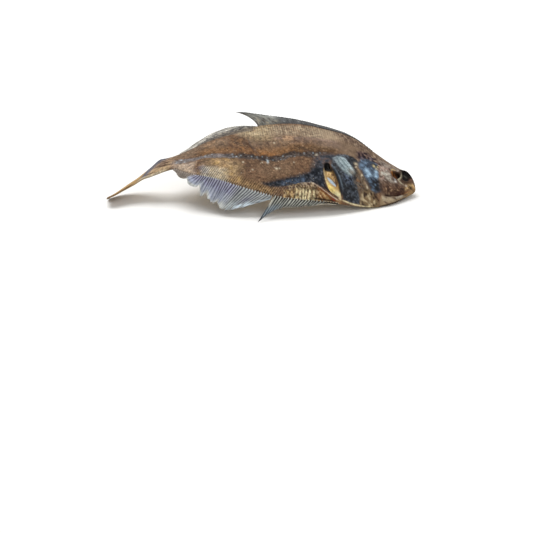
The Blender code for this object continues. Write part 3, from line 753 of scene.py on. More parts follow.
def paint_head(skin):
    """Skin and bones of the head, without the sockets and the gill opening."""
    d, c, a = skin.places
    lay, speckle, spot, inside, ridge = skin.tools
    middle, fine = shared_noise(d, a)
    grainy, tight = noise(d, a, 1.3, 119), noise(d, a / 1.15, 0.85, 183)
    lay(NAPE_BROWN, fall(46, 56, d) * fall(0.2, 0.5, -c))
    lay(DARK_BROWN, 0.55 * step(-0.1, 0.6, middle) * fall(44, 54, d) * step(0.25, 0.5, c))
    face = inside(FACE, 3)
    lay(FACE_BROWN, 0.95 * face)
    slant = streaks(d, a, 1.6, 2.5, 70, 123)
    speckle(slant, face * step(14, 19, d) * step(-0.5, -0.2, c), ((176, 158, 148), 1.1, 1, -0.05))
    lay((100, 78, 64), 0.8 * face * step(-0.1, 0.3, -c))
    speckle(slant, face * step(-0.2, 0.2, -c), ((48, 34, 28), 1.4, -1))
    speckle(slant, face * step(-0.1, 0.3, -c), ((156, 132, 112), 0.9, 1, -0.1))
    brow = inside(((26, 0.72), (12, 0.86), (9.5, 0.7), (12, 0.5), (24, 0.4)), 3)
    lay((152, 142, 132), (0.55 + 0.6 * fine) * brow)
    speckle(slant, brow, ((70, 58, 54), 1.1, -1, -0.05))
    nape = inside(NAPE, 5)
    lay((96, 78, 66), 0.7 * nape)
    beads = streaks(d, a, 1, 2.2, 70, 161)
    speckle(beads, nape, ((160, 140, 118), 0.7, 1.4), ((56, 44, 38), 0.8, -1.4))
    top = inside(CHEEK_TOP, 3)
    lay((84, 66, 64), (0.9 + 0.3 * fine) * top)
    speckle(grainy, top, ((34, 26, 30), 1.1, 2.2), ((150, 132, 110), 0.8, -2, -0.5))
    # The cheek: dark blue skin, mottled with blue that is partly a painted sheen, and spots that include
    # painted highlights
    cheek = inside(CHEEK, 2.5)
    lay((52, 60, 74), cheek)
    speckle(layered(d, a, 2.8, 121), cheek, (CHEEK_BLUE_AND_SHEEN, 0.9, 1.8, 0.15))
    speckle(grainy, cheek, (BLACK, 0.7, 1.8, -0.2))
    lay((12, 13, 16), (0.9 + 0.9 * grainy) * inside(CHEEK_DARK, 5))
    for at, up, size, tone in CHEEK_MARKS:
        lay(tone, (0.95 + 0.5 * tight) * spot(at, across(at, up), size / 1.2, size))
    speckle(tight, cheek, ((24, 26, 34), 0.75, 2.2, -0.7))
    cover = inside(OPERCLE, 2)
    lay((38, 42, 48), cover)
    # A blue-grey painted sheen on the gill cover's dark skin.
    bluish = ((49.5, -0.36), (45.5, -0.3), (43.5, -0.45), (46, -0.62), (49.5, -0.55))
    lay((84, 96, 116), 0.8 * inside(bluish, 4))
    speckle(tight, cover, ((84, 90, 98), 0.8, 1.8, -0.2), ((12, 14, 18), 1, -1.8))
    speckle(layered(d, a, 4.2, 129), cover, ((18, 20, 24), 0.7, 2.2), ((84, 92, 104), 0.3, -2.2, -0.3))
    before = ((40, -0.66), (36, -0.62), (35, -0.95), (38.6, -0.97))
    lay((112, 98, 82), (0.8 + 0.6 * fine) * inside(before, 3))
    gap, along = line_gap(d, c, COVER_EDGE)
    rim = span(along, 0, 0.1, 0.7, 1)
    lay((98, 112, 124), 0.9 * bump(gap, 0.6) * rim)
    # The silver patch: pale silvery skin, its brightness partly a painted sheen, with a painted highlight
    # along its upper edge
    silver = inside(SILVER, 2.4)
    streak = streaks(d, a, 0.85, 7, 50, 133) + 0.35 * tight
    lay((128, 144, 148), 0.95 * silver)
    speckle(streak, silver, ((182, 198, 202), 0.95, 1.3), ((70, 82, 90), 0.95, -1.3))
    lay((72, 84, 92), 0.75 * silver * step(49.5, 55.5, d))
    lay((126, 112, 96), 0.85 * silver * spot(43.4, -9, 3))
    lay(SILVER_FLECK_AND_HIGHLIGHT, 0.6 * ridge(((52.5, 0.07), (48.5, 0.05), (46.9, -0.03), (44.6, -0.12)), 0.5))
    lay(BLACK, 0.8 * ridge(((42.8, 0.02), (41.6, -0.17), (40.2, -0.28)), 0.7))
    lay(BLACK, 0.55 * ridge(((40.4, -0.28), (38.4, -0.42), (36.4, -0.58), (33, -0.71)), 0.6))
    patch = inside(((43, -0.34), (39, -0.28), (36, -0.5), (37.5, -0.68), (41.5, -0.64), (43, -0.5)), 3.5)
    speckle(grainy, patch, ((104, 94, 84), 0.9, 1.5, 0.6))
    speckle(tight, patch, ((40, 40, 42), 0.8, -2, -0.2))
    beside = ridge(PREOPERCLE, 2.3)
    speckle(grainy, beside, ((104, 90, 76), 0.9, 1.4, 0.5))
    speckle(tight, beside, ((34, 32, 34), 0.7, -1.8, -0.3))
    bone = ridge(PREOPERCLE, 1)
    lay((132, 112, 90), (0.8 + 0.8 * fine) * bone)
    speckle(noise(d, a, 1.5, 165), bone, ((206, 192, 166), 1.1, 1.8, -0.25))
    speckle(noise(d, a, 1.7, 167), bone, ((54, 40, 34), 1, -1.8, -0.2))
    lay((200, 184, 156), 0.8 * spot(41.2, 0.4, 1.2))
    lay(DARK_BROWN, 0.8 * ridge(((38.6, -0.06), (36.8, -0.24), (34.3, -0.44), (31.6, -0.58)), 0.6))
    around = inside(((25, 0.36), (19, 0.42), (18.5, 0.1), (21, -0.1), (24.5, -0.2)), 3)
    speckle(tight, around, ((164, 138, 126), 0.7, 1.3, 0.7))
    worn = streaks(d, a, 1, 2.2, 35, 253)
    speckle(worn, face * step(-0.4, -0.1, c), ((184, 168, 156), 0.75, 2.2, -0.4))
    speckle(worn, face, ((72, 56, 50), 0.95, -2.4, -0.25))
    rim = inside(EYE_RIM, 2.4)
    lay((176, 170, 158), (0.6 + 0.8 * slant) * rim)
    speckle(tight, rim, ((88, 76, 68), 0.9, -1.8, -0.1))
    # Painted highlights on the face behind the eyes.
    shine = inside(((24.5, 0.24), (20.5, 0.34), (17.8, 0.26), (18.2, 0.04), (21, -0.12), (24, -0.06)), 2.5)
    speckle(streaks(d, a, 1.1, 2, 40, 257), shine, ((204, 202, 188), 0.8, 2.4, 0.05))
    lay((200, 206, 206), 0.8 * ridge(((17.2, 0.18), (15.6, 0.02), (14, -0.12)), 0.5))
    lay((232, 228, 222), 0.9 * spot(14.3, -2.8, 0.7))
    lay((80, 58, 46), (1 + 0.4 * middle) * inside(UPPER_JAW, 4))
    jaw, snout = inside(UPPER_JAW, 3), inside(SNOUT, 2.2)
    speckle(tight, jaw, ((160, 132, 104), 0.8, 2.4, -0.7), ((44, 32, 28), 0.8, -1.8, -0.3))
    speckle(slant, jaw, ((134, 102, 78), 0.7, -1.6, -0.3))
    lay((148, 118, 84), (0.95 + 0.4 * fine) * snout)
    speckle(tight, snout, ((92, 68, 50), 0.8, -2, -0.3))
    lay((150, 122, 84), 0.8 * step(0.7, 0.9, -c) * fall(6, 10, d))
    speckle(grainy, snout, ((206, 178, 130), 0.9, 1.8))
    throat = inside(THROAT, 2)
    lay((120, 100, 74), (1 + 0.3 * fine) * throat)
    speckle(noise(d, a, 1.5, 169), throat, ((178, 160, 128), 1, 1.8, -0.1))
    speckle(noise(d, a, 1.6, 171), throat, ((64, 50, 40), 1, -1.8, -0.1))
    jaw = inside(LOWER_JAW, 1.8)
    lay((140, 120, 94), (1 + 0.4 * fine) * jaw)
    lay((176, 162, 138), (0.8 + 0.5 * fine) * ridge(((24.5, -0.8), (20, -0.83), (14.5, -0.85)), 1.8))
    # A painted highlight along the lower jaw.
    lay((196, 190, 174), (0.8 + 0.6 * fine) * ridge(((15, -0.86), (12.5, -0.86), (9.5, -0.84)), 0.8))
    # Painted warm light reflected up onto the underside of the chin.
    lay((184, 128, 78), 0.6 * bump(np.hypot((d - 9) / 4, (c + 0.78) / 0.06), 1))
    speckle(noise(d * 0.5, a, 1.6, 173), jaw, (DARK_BROWN, 0.8, 1.5))
    lips = ridge(MOUTH, 0.9) * step(5, 12, d)
    lay((52, 32, 26), (0.9 + 0.5 * fine) * (lips + ridge(JAW_JOINT, 0.9)))
    lay((58, 36, 30), (0.8 + 0.8 * fine) * ridge(((19, -0.68), (15, -0.71), (9, -0.7)), 1.3))
    # Painted shade along the lowest edge under the jaws.
    lay((44, 32, 24), 0.9 * step(0.965, 0.995, -c) * span(d, 6, 9, 23, 27))
    # The throat's pale edge, brightened in part as a painted highlight along its raised rim.
    lay((230, 214, 172), (0.8 + 0.5 * fine) * ridge(THROAT_EDGE, 0.42))


def paint_holes(skin):
    """Eye sockets, nostril and the gill opening."""
    d, c, a = skin.places
    lay, speckle, spot, _, ridge = skin.tools
    for shape, wide in ((UPPER_ORBIT, 1.12), (LOWER_ORBIT, 1)):
        reach = np.hypot((d - shape[0]) / shape[2], (a - shape[1]) / shape[3]) / wide
        lay((64, 48, 38), 0.85 * fall(1.1, 1.5, reach))
        lay(BLACK, fall(0.8, 1.08, reach))
        worn = clipped(1.6 * noise(d, a, 1.4, 191) + 0.1)
        lay((60, 56, 50), 0.15 * worn * fall(0.4, 0.8, reach))
    lay((112, 70, 40), 0.9 * spot(14.9, 3, 1.9, 3))
    lay((150, 98, 46), 0.9 * ridge(((16.4, 0.36), (16, 0.22), (14.6, 0.12), (13.4, 0.06)), 0.8))
    lay((140, 88, 50), 0.8 * ridge(((14.6, 0.34), (14, 0.22), (13.2, 0.12)), 0.5))
    lay((26, 18, 12), 0.8 * ridge(((15.6, 0.36), (15, 0.24), (14, 0.12)), 0.4))
    lay((200, 174, 118), 0.85 * ridge(((16.8, 0.4), (15.4, 0.53), (13.4, 0.53)), 0.5))
    lay((112, 80, 66), 0.7 * spot(3.2, 1.4, 1.3, 2.2))
    lay(BLACK, ridge(((11, 0.66), (8, 0.9), (5, 0.98), (2.6, 0.96), (1, 0.9)), 1.6))
    speckle(noise(d, a, 1.2, 247), ridge(EYE_BRIDGE, 0.5), ((176, 168, 144), 1, 1.2, 0.75))
    # A painted glint of light in the upper eye.
    lay((104, 108, 112), 0.7 * spot(6.4, -0.4, 0.6))
    lay((84, 84, 74), 0.5 * ridge(((8.2, 0.52), (6.8, 0.44), (5.6, 0.3)), 0.5))
    lay((206, 196, 180), 0.8 * spot(6.9, -4.6, 0.7))
    lay((52, 48, 32), 0.95 * spot(NOSTRIL[0], NOSTRIL[1], 1.1))
    lay((206, 168, 116), 0.8 * spot(2, -2.6, 1))
    lay((92, 68, 52), 0.85 * spot(4.2, -1.8, 1.9, 1.5))
    opening = gill_opening(d, c, 1.1)
    lay((34, 38, 44), gill_opening(d, c, 1.2, 2) * step(-0.86, -0.78, c) * step(0.2, 0.3, -c))
    # Inside the gill opening: painted black as the shade of its depth, with flesh, membrane and bone laid
    # over it.
    lay(BLACK, 1.2 * opening)
    lay((168, 136, 84), 0.95 * opening * step(0.26, 0.32, -c))
    streak = streaks(d, a, 0.9, 5, 125, 181)
    flesh_share = clipped(1.5 * ridge(GILL_FLESH, 0.95)) * opening
    lay((192, 158, 104), flesh_share)
    sinews = streaks(d, a, 0.7, 5, 118, 199)
    speckle(sinews, flesh_share, ((84, 50, 28), 1.1, 1.8, -0.1))
    # A painted highlight along the flesh's upper edge.
    lay((222, 190, 132), 0.9 * ridge(((61.2, -0.315), (58.7, -0.325), (56.4, -0.405)), 0.5) * opening)
    # Painted shade over the flesh's right side.
    shaded = ridge(((58.2, -0.32), (56.3, -0.4), (55, -0.5), (54, -0.61)), 1.3) * opening
    speckle(sinews, shaded, ((80, 47, 26), 1.1, 1.2, 0.8))
    gap, along = line_gap(d, c, GILL_MEMBRANE)
    thin = 0.35 + 0.75 * clipped(1 - np.abs(2 * along - 1)) ** 0.7
    lay((168, 186, 202), 1.6 * bump(gap, thin) * opening)
    slit = ((60.2, -0.4), (58, -0.46), (56, -0.54), (54.6, -0.6))
    lay((44, 34, 28), 0.8 * ridge(slit, 0.32) * opening)
    gap, along = line_gap(d, c, GILL_BONE)
    bone = bump(gap, 0.5 + 1.5 * step(0.12, 0.6, along)) * step(0, 0.05, along)
    lay((204, 184, 146), 1.7 * bone * opening)
    lay((224, 200, 112), bone * bump(along - 0.5, 0.22) * opening)
    lay((216, 208, 158), bone * bump(along - 0.8, 0.12) * opening)
    speckle(streak, bone * opening, ((112, 84, 48), 0.8, 1.5, -0.2))
    lay((30, 32, 38), ridge(GILL_SHADE, 0.8))
    # Painted black shade in the deepest part of the opening.
    lay((8, 7, 7), fall(0.7, 1, np.hypot((d - 60.8) / 2.5, (a + 7.6) / 3.2)))
    return opening


def paint_tail(skin):
    """The narrow end of the body and the tail fin with its rays."""
    d, c, a = skin.places
    lay, speckle, _, inside, _ = skin.tools
    fine = layered(d, a, 1.8, 109, 2)
    lengthwise = streaks(d, a, 1.2, 6, 0, 193)
    end = step(160, 168, d)
    lay((166, 140, 116), 0.85 * end)
    near = ((166, -0.2), (173, -0.45), (188, -0.8), (180, -1.1), (166, -1.1))
    lay((180, 154, 118), 0.75 * inside(near, 3))
    speckle(lengthwise, end, ((84, 64, 52), 0.95, 1.6), ((176, 152, 122), 0.8, -1.6, -0.2))
    fringe = inside(TAIL_FRINGE, 4)
    lay((92, 95, 108), (0.9 + 0.4 * fine) * fringe)
    strip = inside(TAIL_STRIP, 3)
    lay((168, 136, 92), strip)
    rays = tail_rays(d, c)
    lay((96, 68, 42), strip * clipped(-0.8 * rays - 0.1 + 0.5 * lengthwise))
    lay((204, 178, 132), 0.7 * strip * clipped(rays - 0.3 - 0.8 * lengthwise))
    lay((120, 92, 70), 0.7 * strip * step(198, 209, d + 2 * lengthwise))
    lay((60, 58, 66), 0.8 * strip * step(0.2, 0.9, c))
    lay((88, 62, 42), 0.8 * step(0.82, 0.94, -c) * step(188, 194, d))
    # A painted highlight along the tail's lower edge.
    lay(PALE, 0.85 * step(0.86, 0.98, -c) * span(d, 166, 172, 186, 190))


def paint_eyed(d, c):
    a = across(d, c)
    skin = Paint(BROWN, d, a, c)
    inside = skin.inside
    paint_trunk(skin)
    paint_belly(skin)
    paint_head(skin)
    opening = paint_holes(skin)
    paint_tail(skin)
    skin.shade(1 + 0.14 * layered(d, a, 14, 101) + 0.2 * layered(d, a, 3.2, 103))
    trunk = step(56, 70, d)
    cover = inside(OPERCLE, 2)
    skin.scales = (0.3 + 0.7 * trunk) * (1 - 0.7 * cover) * (1 - opening) * (1 - 0.7 * inside(SILVER, 2))
    skin.scales = skin.scales * (1 - 0.9 * step(176, 186, d))
    skin.flecks = 0.5 * trunk * span(-c, -0.2, 0.3, 0.6, 0.8)
    skin.gloss = clipped(0.5 * cover + 0.7 * inside(CHEEK, 3) + 0.5 * inside(SILVER, 2) + opening)
    skin.back = 0.35 * back_stripe_share(d, c)
    skin.belly = belly_stripe_share(d, c) * (0.15 + 0.85 * step(84, 98, d))
    skin.grain = 0.8 + 1 * cover
    return skin


def paint_blind(d, c):
    a = across(d, c)
    skin = Paint(BLIND_CREAM, d, a, c)
    lay, speckle, _, inside, ridge = skin.tools
    lay(BLIND_STAIN, clipped(0.35 + 0.7 * layered(d, a, 16, 201)))
    speckle(layered(d, a, 7, 203), 1, (RUST, 0.35, 1))
    lay(DORSAL, 0.7 * step(0.72, 1, np.abs(c)))
    lay(BLIND_STAIN, 0.8 * ridge(LATERAL_LINE, 1.2))
    lay(BELLY_RUST, 0.5 * inside(BELLY, 8))
    lay(SLATE, 0.35 * inside(OPERCLE, 8))
    # The blind side's gill opening, painted dark as shade.
    lay(DARK_BROWN, gill_opening(d, c, 1.6))
    lay(DARK_BROWN, 0.8 * ridge(MOUTH, 0.8))
    # Painted shade along the lowest edge under the jaws.
    lay(DARK_BROWN, 0.7 * step(0.9, 0.98, -c) * fall(23, 27, d))
    lay(CREAM, 0.8 * step(0.93, 1, -c) * span(d, 24, 32, 50, 56))
    lay((168, 138, 98), 0.85 * inside(TAIL_STRIP, 8))
    skin.shade(1 + 0.1 * layered(d, a, 9, 205) + 0.12 * layered(d, a, 2, 209))
    speckle(tail_rays(d, c), inside(TAIL_STRIP, 4), ((96, 68, 42), 0.9, -1))
    skin.scales = 0.7 * (1 - 0.9 * step(176, 186, d))
    skin.back = 0.7 * back_stripe_share(d, c)
    skin.belly = 0.7 * belly_stripe_share(d, c)
    skin.grain = np.full(d.shape, 0.7)
    return skin


def body_columns():
    places, gaps = np.array(SPACING, float).T
    columns = [gaps[0]]
    while columns[-1] < BODY_LENGTH:
        columns.append(columns[-1] + np.interp(columns[-1], places, gaps))
    return np.array(columns) * BODY_LENGTH / columns[-1]


def add_piece(name, points, faces, material, attributes):
    """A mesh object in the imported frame. attributes maps names to (kind, one value for each point)."""
    mesh = bpy.data.meshes.new(name)
    mesh.from_pydata(((points + SHIFT) * MM).tolist(), [], faces)
    for key, (kind, values) in attributes.items():
        layer = mesh.attributes.new(key, kind, "POINT")
        field = {"FLOAT_COLOR": "color", "FLOAT_VECTOR": "vector"}[kind]
        layer.data.foreach_set(field, np.asarray(values, np.float32).ravel())
    mesh.materials.append(material)
    mesh.shade_smooth()
    piece = bpy.data.objects.new(name, mesh)
    bpy.context.scene.collection.objects.link(piece)
    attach(piece, "root")
    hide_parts("dried_plaice")


def traits_of(paints, places):
    """The attributes that the skin material reads."""

    def joined(*names):
        stacks = [np.stack([getattr(paint, name) for name in names], -1) for paint in paints]
        return np.concatenate([stack.reshape(-1, len(names)) for stack in stacks])

    tone = np.concatenate([paint.tone.reshape(-1, 3) for paint in paints])
    return {
        "tone": ("FLOAT_COLOR", np.concatenate([np.clip(tone, 0.002, 1), np.ones((len(tone), 1))], 1)),
        "traits": ("FLOAT_VECTOR", joined(*Paint.TRAITS[:3])),
        "stripes": ("FLOAT_VECTOR", joined(*Paint.TRAITS[3:])),
        "place": ("FLOAT_VECTOR", places),
    }


def frayed(d, c):
    """Distances with the tail's end drawn in between its groups of rays and towards its corners."""
    split = 0.5 - 0.5 * np.cos(np.pi * TAIL_SPLITS * (c + 1))
    drawn = TAIL_NOTCH * split * (0.6 + 0.4 * np.sin(5 * c + 1)) + TAIL_ROUND * (c - 0.4) ** 2
    return d - drawn * step(*TAIL_FRAY, d)


def make_body(material):
    columns = body_columns()
    even = np.linspace(-1, 1, EYED_ROWS + 1)
    eyed_cross = 0.5 * even + 0.5 * np.sin(np.pi / 2 * even)
    even = np.linspace(1, -1, BLIND_ROWS + 1)[1:-1]
    blind_cross = 0.4 * even + 0.6 * np.sin(np.pi / 2 * even)
    ring = len(eyed_cross) + len(blind_cross)
    eyed, blind = (np.meshgrid(columns, crosses, indexing="ij") for crosses in (eyed_cross, blind_cross))
    heights = (eyed, eyed_height), (blind, blind_height)
    rings = np.concatenate([place(frayed(*side), side[1], height(*side)) for side, height in heights], 1)
    rings[..., 2] = np.maximum(rings[..., 2], 0)
    snout = place(np.zeros(1), np.zeros(1), np.zeros(1))
    points = np.concatenate([snout, rings.reshape(-1, 3)])
    faces = []
    for column in range(len(columns) - 1):
        start = 1 + column * ring
        for row in range(ring):
            after = (row + 1) % ring
            faces.append((start + row, start + after, start + ring + after, start + ring + row))
    faces += [(1 + (row + 1) % ring, 1 + row, 0) for row in range(ring)]
    faces.append(tuple(range(len(points) - ring, len(points))))
    sides = paint_eyed(*eyed), paint_blind(*blind)
    tip, joined = Paint(SNOUT_TAN, np.zeros(1)), Paint(BROWN, np.zeros((len(columns), ring)))
    for trait in ("tone",) + Paint.TRAITS:
        setattr(joined, trait, np.concatenate([getattr(side, trait) for side in sides], 1))
    apart = (*eyed, 0), (*blind, BLIND_APART)
    over = [np.stack([d, across(d, c), 0 * d + far], -1) for d, c, far in apart]
    places = np.concatenate([np.zeros((1, 3)), np.concatenate(over, 1).reshape(-1, 3)])
    add_piece("plaice_body", points, faces, material, traits_of((tip, joined), places))


def make_fin(material, name, rays, edge, powers, paint, seed, ragged, waving, pitches, steeper, pointed):
    """A fin: a thin membrane with a raised ray every pitch, and a ragged outer edge."""
    table = np.array(rays, float)
    columns = int(round((table[-1, 0] - table[0, 0]) / RAY_PITCH)) * COLUMNS_A_RAY + 1
    root = np.linspace(table[0, 0], table[-1, 0], columns)
    index = np.interp(root, table[:, 0], np.arange(len(table)))
    _, back, out, angle = (smooth(np.arange(len(table)), column, index) for column in table.T)
    angle = np.radians(angle)
    gaps = np.linspace(*pitches, columns)
    phase = np.concatenate([[0], np.cumsum(2 * np.diff(root) / (gaps[1:] + gaps[:-1]))])
    count = int(np.ceil(phase[-1]))
    chance = np.random.default_rng(seed)
    crest = phase + 0.3 * noise(root, 0 * root, 3.5, seed + 7)
    lean = steeper * fall(0.6, 0.9, phase / count) * back

    def on_ray(share):
        """1 on a ray, 0 midway to the next, where the rays lean less than the fin's columns."""
        turn = np.interp(root + lean * share, root, crest)
        return np.abs(2 * (turn - np.floor(turn)) - 1)

    torn = np.linspace(*ragged, columns) * (1 - pointed * step(0.82, 0.97, phase / count))
    reach = 1 - torn * np.interp(phase, np.arange(count + 2), chance.uniform(0, 1, count + 2) ** 2)
    splits = chance.uniform(0, 1, count + 1) ** 3
    split = splits[np.minimum(np.floor(phase).astype(int), count)]
    reach = reach - torn * (0.4 + 1.2 * split) * (1 - on_ray(1.0)) ** 0.7
    back, out = back * reach, out * reach
    still = np.zeros(columns)
    inside = place(root, edge * (1 - 2 * FIN_SUNK / section(root)[0]), still)
    foot = place(root, np.full(columns, float(edge)), still)
    share = np.linspace(0, 1, FIN_ROWS)[:, None, None]
    swept = np.stack([-back, still, still], -1) * share ** powers[0]
    spread = np.stack([still, out * np.cos(angle), out * np.sin(angle)], -1) * (1 - (1 - share) ** powers[1])
    sheet = np.concatenate([inside[None], foot + swept + spread]).transpose(1, 0, 2)
    rows = sheet.shape[1]
    normal = np.cross(np.gradient(sheet, axis=0), np.gradient(sheet, axis=1))
    normal /= np.maximum(np.linalg.norm(normal, axis=-1, keepdims=True), 1e-9)
    outward = np.concatenate([[0], np.linspace(0, 1, rows - 1)])[None, :] + 0 * root[:, None]
    between = np.stack([on_ray(share) for share in outward[0]], -1)
    phase, root = phase[:, None] + 0 * outward, root[:, None] + 0 * outward
    half = MEMBRANE + (RAY_FOOT - RAY_TAPER * outward) * bump(1 - between, 0.42) + MEMBRANE * (1 - outward)
    wave = np.sin(phase * 0.9 + seed) * 0.3 + layered(phase, outward * 9, 4, seed + 3) * 0.45
    wave = waving * wave * outward
    sides = [sheet + normal * (wave + half)[..., None], sheet + normal * (wave - half)[..., None]]
    points = np.concatenate([side.reshape(-1, 3) for side in sides])
    points[:, 2] = np.maximum(points[:, 2], 0)
    other = columns * rows
    number = np.arange(other).reshape(columns, rows)
    quads = np.stack([number[:-1, :-1], number[:-1, 1:], number[1:, 1:], number[1:, :-1]], -1).reshape(-1, 4)
    faces = quads[:, ::-1].tolist() + (quads + other).tolist()
    rim = np.concatenate([number[0, :-1], number[:-1, -1], number[-1, :0:-1], number[:0:-1, 0]]).tolist()
    for start, end in zip(rim, rim[1:] + rim[:1]):
        faces.append((start, end, end + other, start + other))
    fin = paint(root, outward, between)
    fin.shade(1 + 0.16 * layered(root, outward * 14, 5, seed + 11))
    fin.shade(1 + 0.22 * noise(root, outward * 5, 1.3, seed))
    length = np.hypot(back, out)[:, None]
    over = np.stack([root, outward * length, FINS_APART + seed + 0 * root], -1).reshape(-1, 3)
    add_piece(name, points, faces, material, traits_of((fin, fin), np.tile(over, (2, 1))))


def rays_and_skin(root, out, between, ray, membrane, dark, share):
    """Light rays over a membrane that is darkest midway between them, both worn unevenly."""
    fin = Paint(membrane, root, out)
    worn = 0.75 + 0.6 * layered(root, out * 10, 5, 211)
    fin.lay(dark, share * worn * fall(0.1, 0.6, between))
    fin.lay(ray, share * worn * step(0.45, 0.9, between))
    fin.grain = np.full(root.shape, 0.8)
    return fin


def dorsal_front_paint(root, out, between):
    fin = rays_and_skin(root, out, between, (104, 104, 102), (84, 85, 86), FIN_DARK, 0.6)
    lay, speckle, spot, *_ = fin.tools
    spike = step(88, 96, root)
    lay((118, 118, 112), 0.85 * spike)
    # Painted highlights on the fin's spike.
    lay((168, 170, 164), 0.7 * spot(96, 0.62, 6, 0.2))
    lay((206, 208, 204), 0.8 * spot(92, 0.72, 2.5, 0.12))
    worn = layered(root + 5 * out, 9 * out - 0.5 * root, 1.3, 213, 2)
    low = spike * fall(0.35, 0.7, out)
    speckle(worn, low, ((70, 58, 50), 0.85, 1.8), ((170, 156, 132), 0.6, -1.8, -0.3))
    lay((92, 98, 104), 0.7 * spike * step(0.8, 0.97, out))
    lay((66, 58, 52), 0.9 * step(104.5, 107, root) * step(0.45, 0.8, out))
    front = fall(84, 94, root)
    lay((66, 68, 72), 0.6 * front * step(0.45, 0.75, out))
    speckle(streaks(root, out * 6, 0.9, 5, 0, 221), front, ((104, 106, 106), 0.8, 1.6, -0.2))
    lay((150, 152, 150), 0.6 * dots(root, out * 8, 4.2, 0.9, 0.3, 221) * front * fall(0.5, 0.7, out))
    lay((40, 36, 34), 0.9 * fall(0.03, 0.16, out) * (1 - 0.6 * step(66, 74, root)))
    return fin


def dorsal_rear_paint(root, out, between):
    fin = rays_and_skin(root, out, between, (182, 178, 168), (160, 156, 148), FIN_GREY, 0.4)
    lay, speckle, *_ = fin.tools
    along = streaks(root, out * 9, 1, 6, -12, 227)
    speckle(along, 1, ((216, 212, 202), 1.2, 1.5), ((104, 102, 102), 1, -1.5, -0.1))
    dark = fall(112, 126, root)
    lay((90, 92, 92), 0.85 * dark * (0.8 + 0.5 * noise(root, out * 6, 2.5, 223)))
    low = fall(0.35, 0.75, out + 0.25 * noise(root, out * 8, 2.2, 229) + 0.25 * step(142, 154, root))
    lay((84, 80, 78), 0.9 * low)
    speckle(noise(root, out * 8, 1.2, 237), low, ((158, 150, 136), 0.8, 2, -0.1))
    lay((206, 206, 198), 0.6 * dark * dots(root, out * 6, 3.2, 1, 0.4, 225))
    lay((150, 146, 138), 0.6 * step(0.88, 1, out))
    return fin


def anal_front_paint(root, out, between):
    fin = rays_and_skin(root, out, between, (186, 187, 176), (96, 97, 94), (34, 32, 30), 1.05)
    lay, *_ = fin.tools
    blue = step(84, 94, root) * step(0.3, 0.7, out)
    lay((122, 140, 156), 0.6 * blue)
    lay((44, 48, 56), 0.9 * step(88, 94, root) * step(0.45, 0.75, out) * fall(0.2, 0.6, between))
    lay((60, 56, 56), 0.8 * step(92, 96, root) * step(0.8, 0.95, out))
    lay((222, 220, 206), 0.9 * step(95, 96.4, root) * fall(0.25, 0.45, out))
    lay((46, 36, 30), 0.8 * fall(0, 0.2, out) * fall(0.5, 0.8, between))
    # Near the front the fin is painted dark towards its root as the shadow under the belly, with a pale line
    # further out.
    front = fall(60, 66, root)
    lay((206, 198, 176), 0.85 * front * step(0.35, 0.6, out))
    lay((34, 26, 22), 0.95 * front * fall(0.3, 0.5, out))
    fin.shade(1 - 0.25 * step(84, 90, root) * clipped(0.4 + noise(root, out * 9, 1.6, 241)))
    return fin


def anal_rear_paint(root, out, between):
    fin = rays_and_skin(root, out, between, (194, 197, 194), (136, 140, 142), (58, 60, 66), 0.85)
    lay, speckle, spot, *_ = fin.tools
    lavender = span(root, 116, 124, 147, 152)
    soft = 0.6 + 0.5 * layered(root, out * 10, 4, 231)
    lay((156, 162, 182), 1.1 * soft * lavender * step(0.1, 0.35, out))
    lay((138, 138, 166), 0.55 * lavender * fall(0.3, 0.6, out))
    dashes = fall(0.2, 0.65, between) * fall(0.3, 0.7, out)
    lay((66, 58, 80), 0.85 * dashes * step(112, 122, root))
    # Painted bluish-white highlights towards the tips of the fin's front rays.
    light = step(0.45, 0.75, out) * fall(106, 118, root)
    speckle(noise(root, out * 12, 1.5, 239), light, ((206, 222, 232), 0.8, 1.6, 0.5))
    lay((88, 86, 108), 0.6 * spot(108, 0.45, 3, 0.2))
    tips = step(0.76, 0.98, out + 0.1 * noise(root, out, 2, 233)) * step(112, 122, root)
    lay((196, 198, 190), 0.75 * tips)
    lay((96, 100, 110), 0.45 * step(0.3, 0.6, out) * step(116, 124, root) * fall(0.1, 0.45, between))
    lay((128, 116, 106), 0.85 * step(147, 152, root))
    return fin


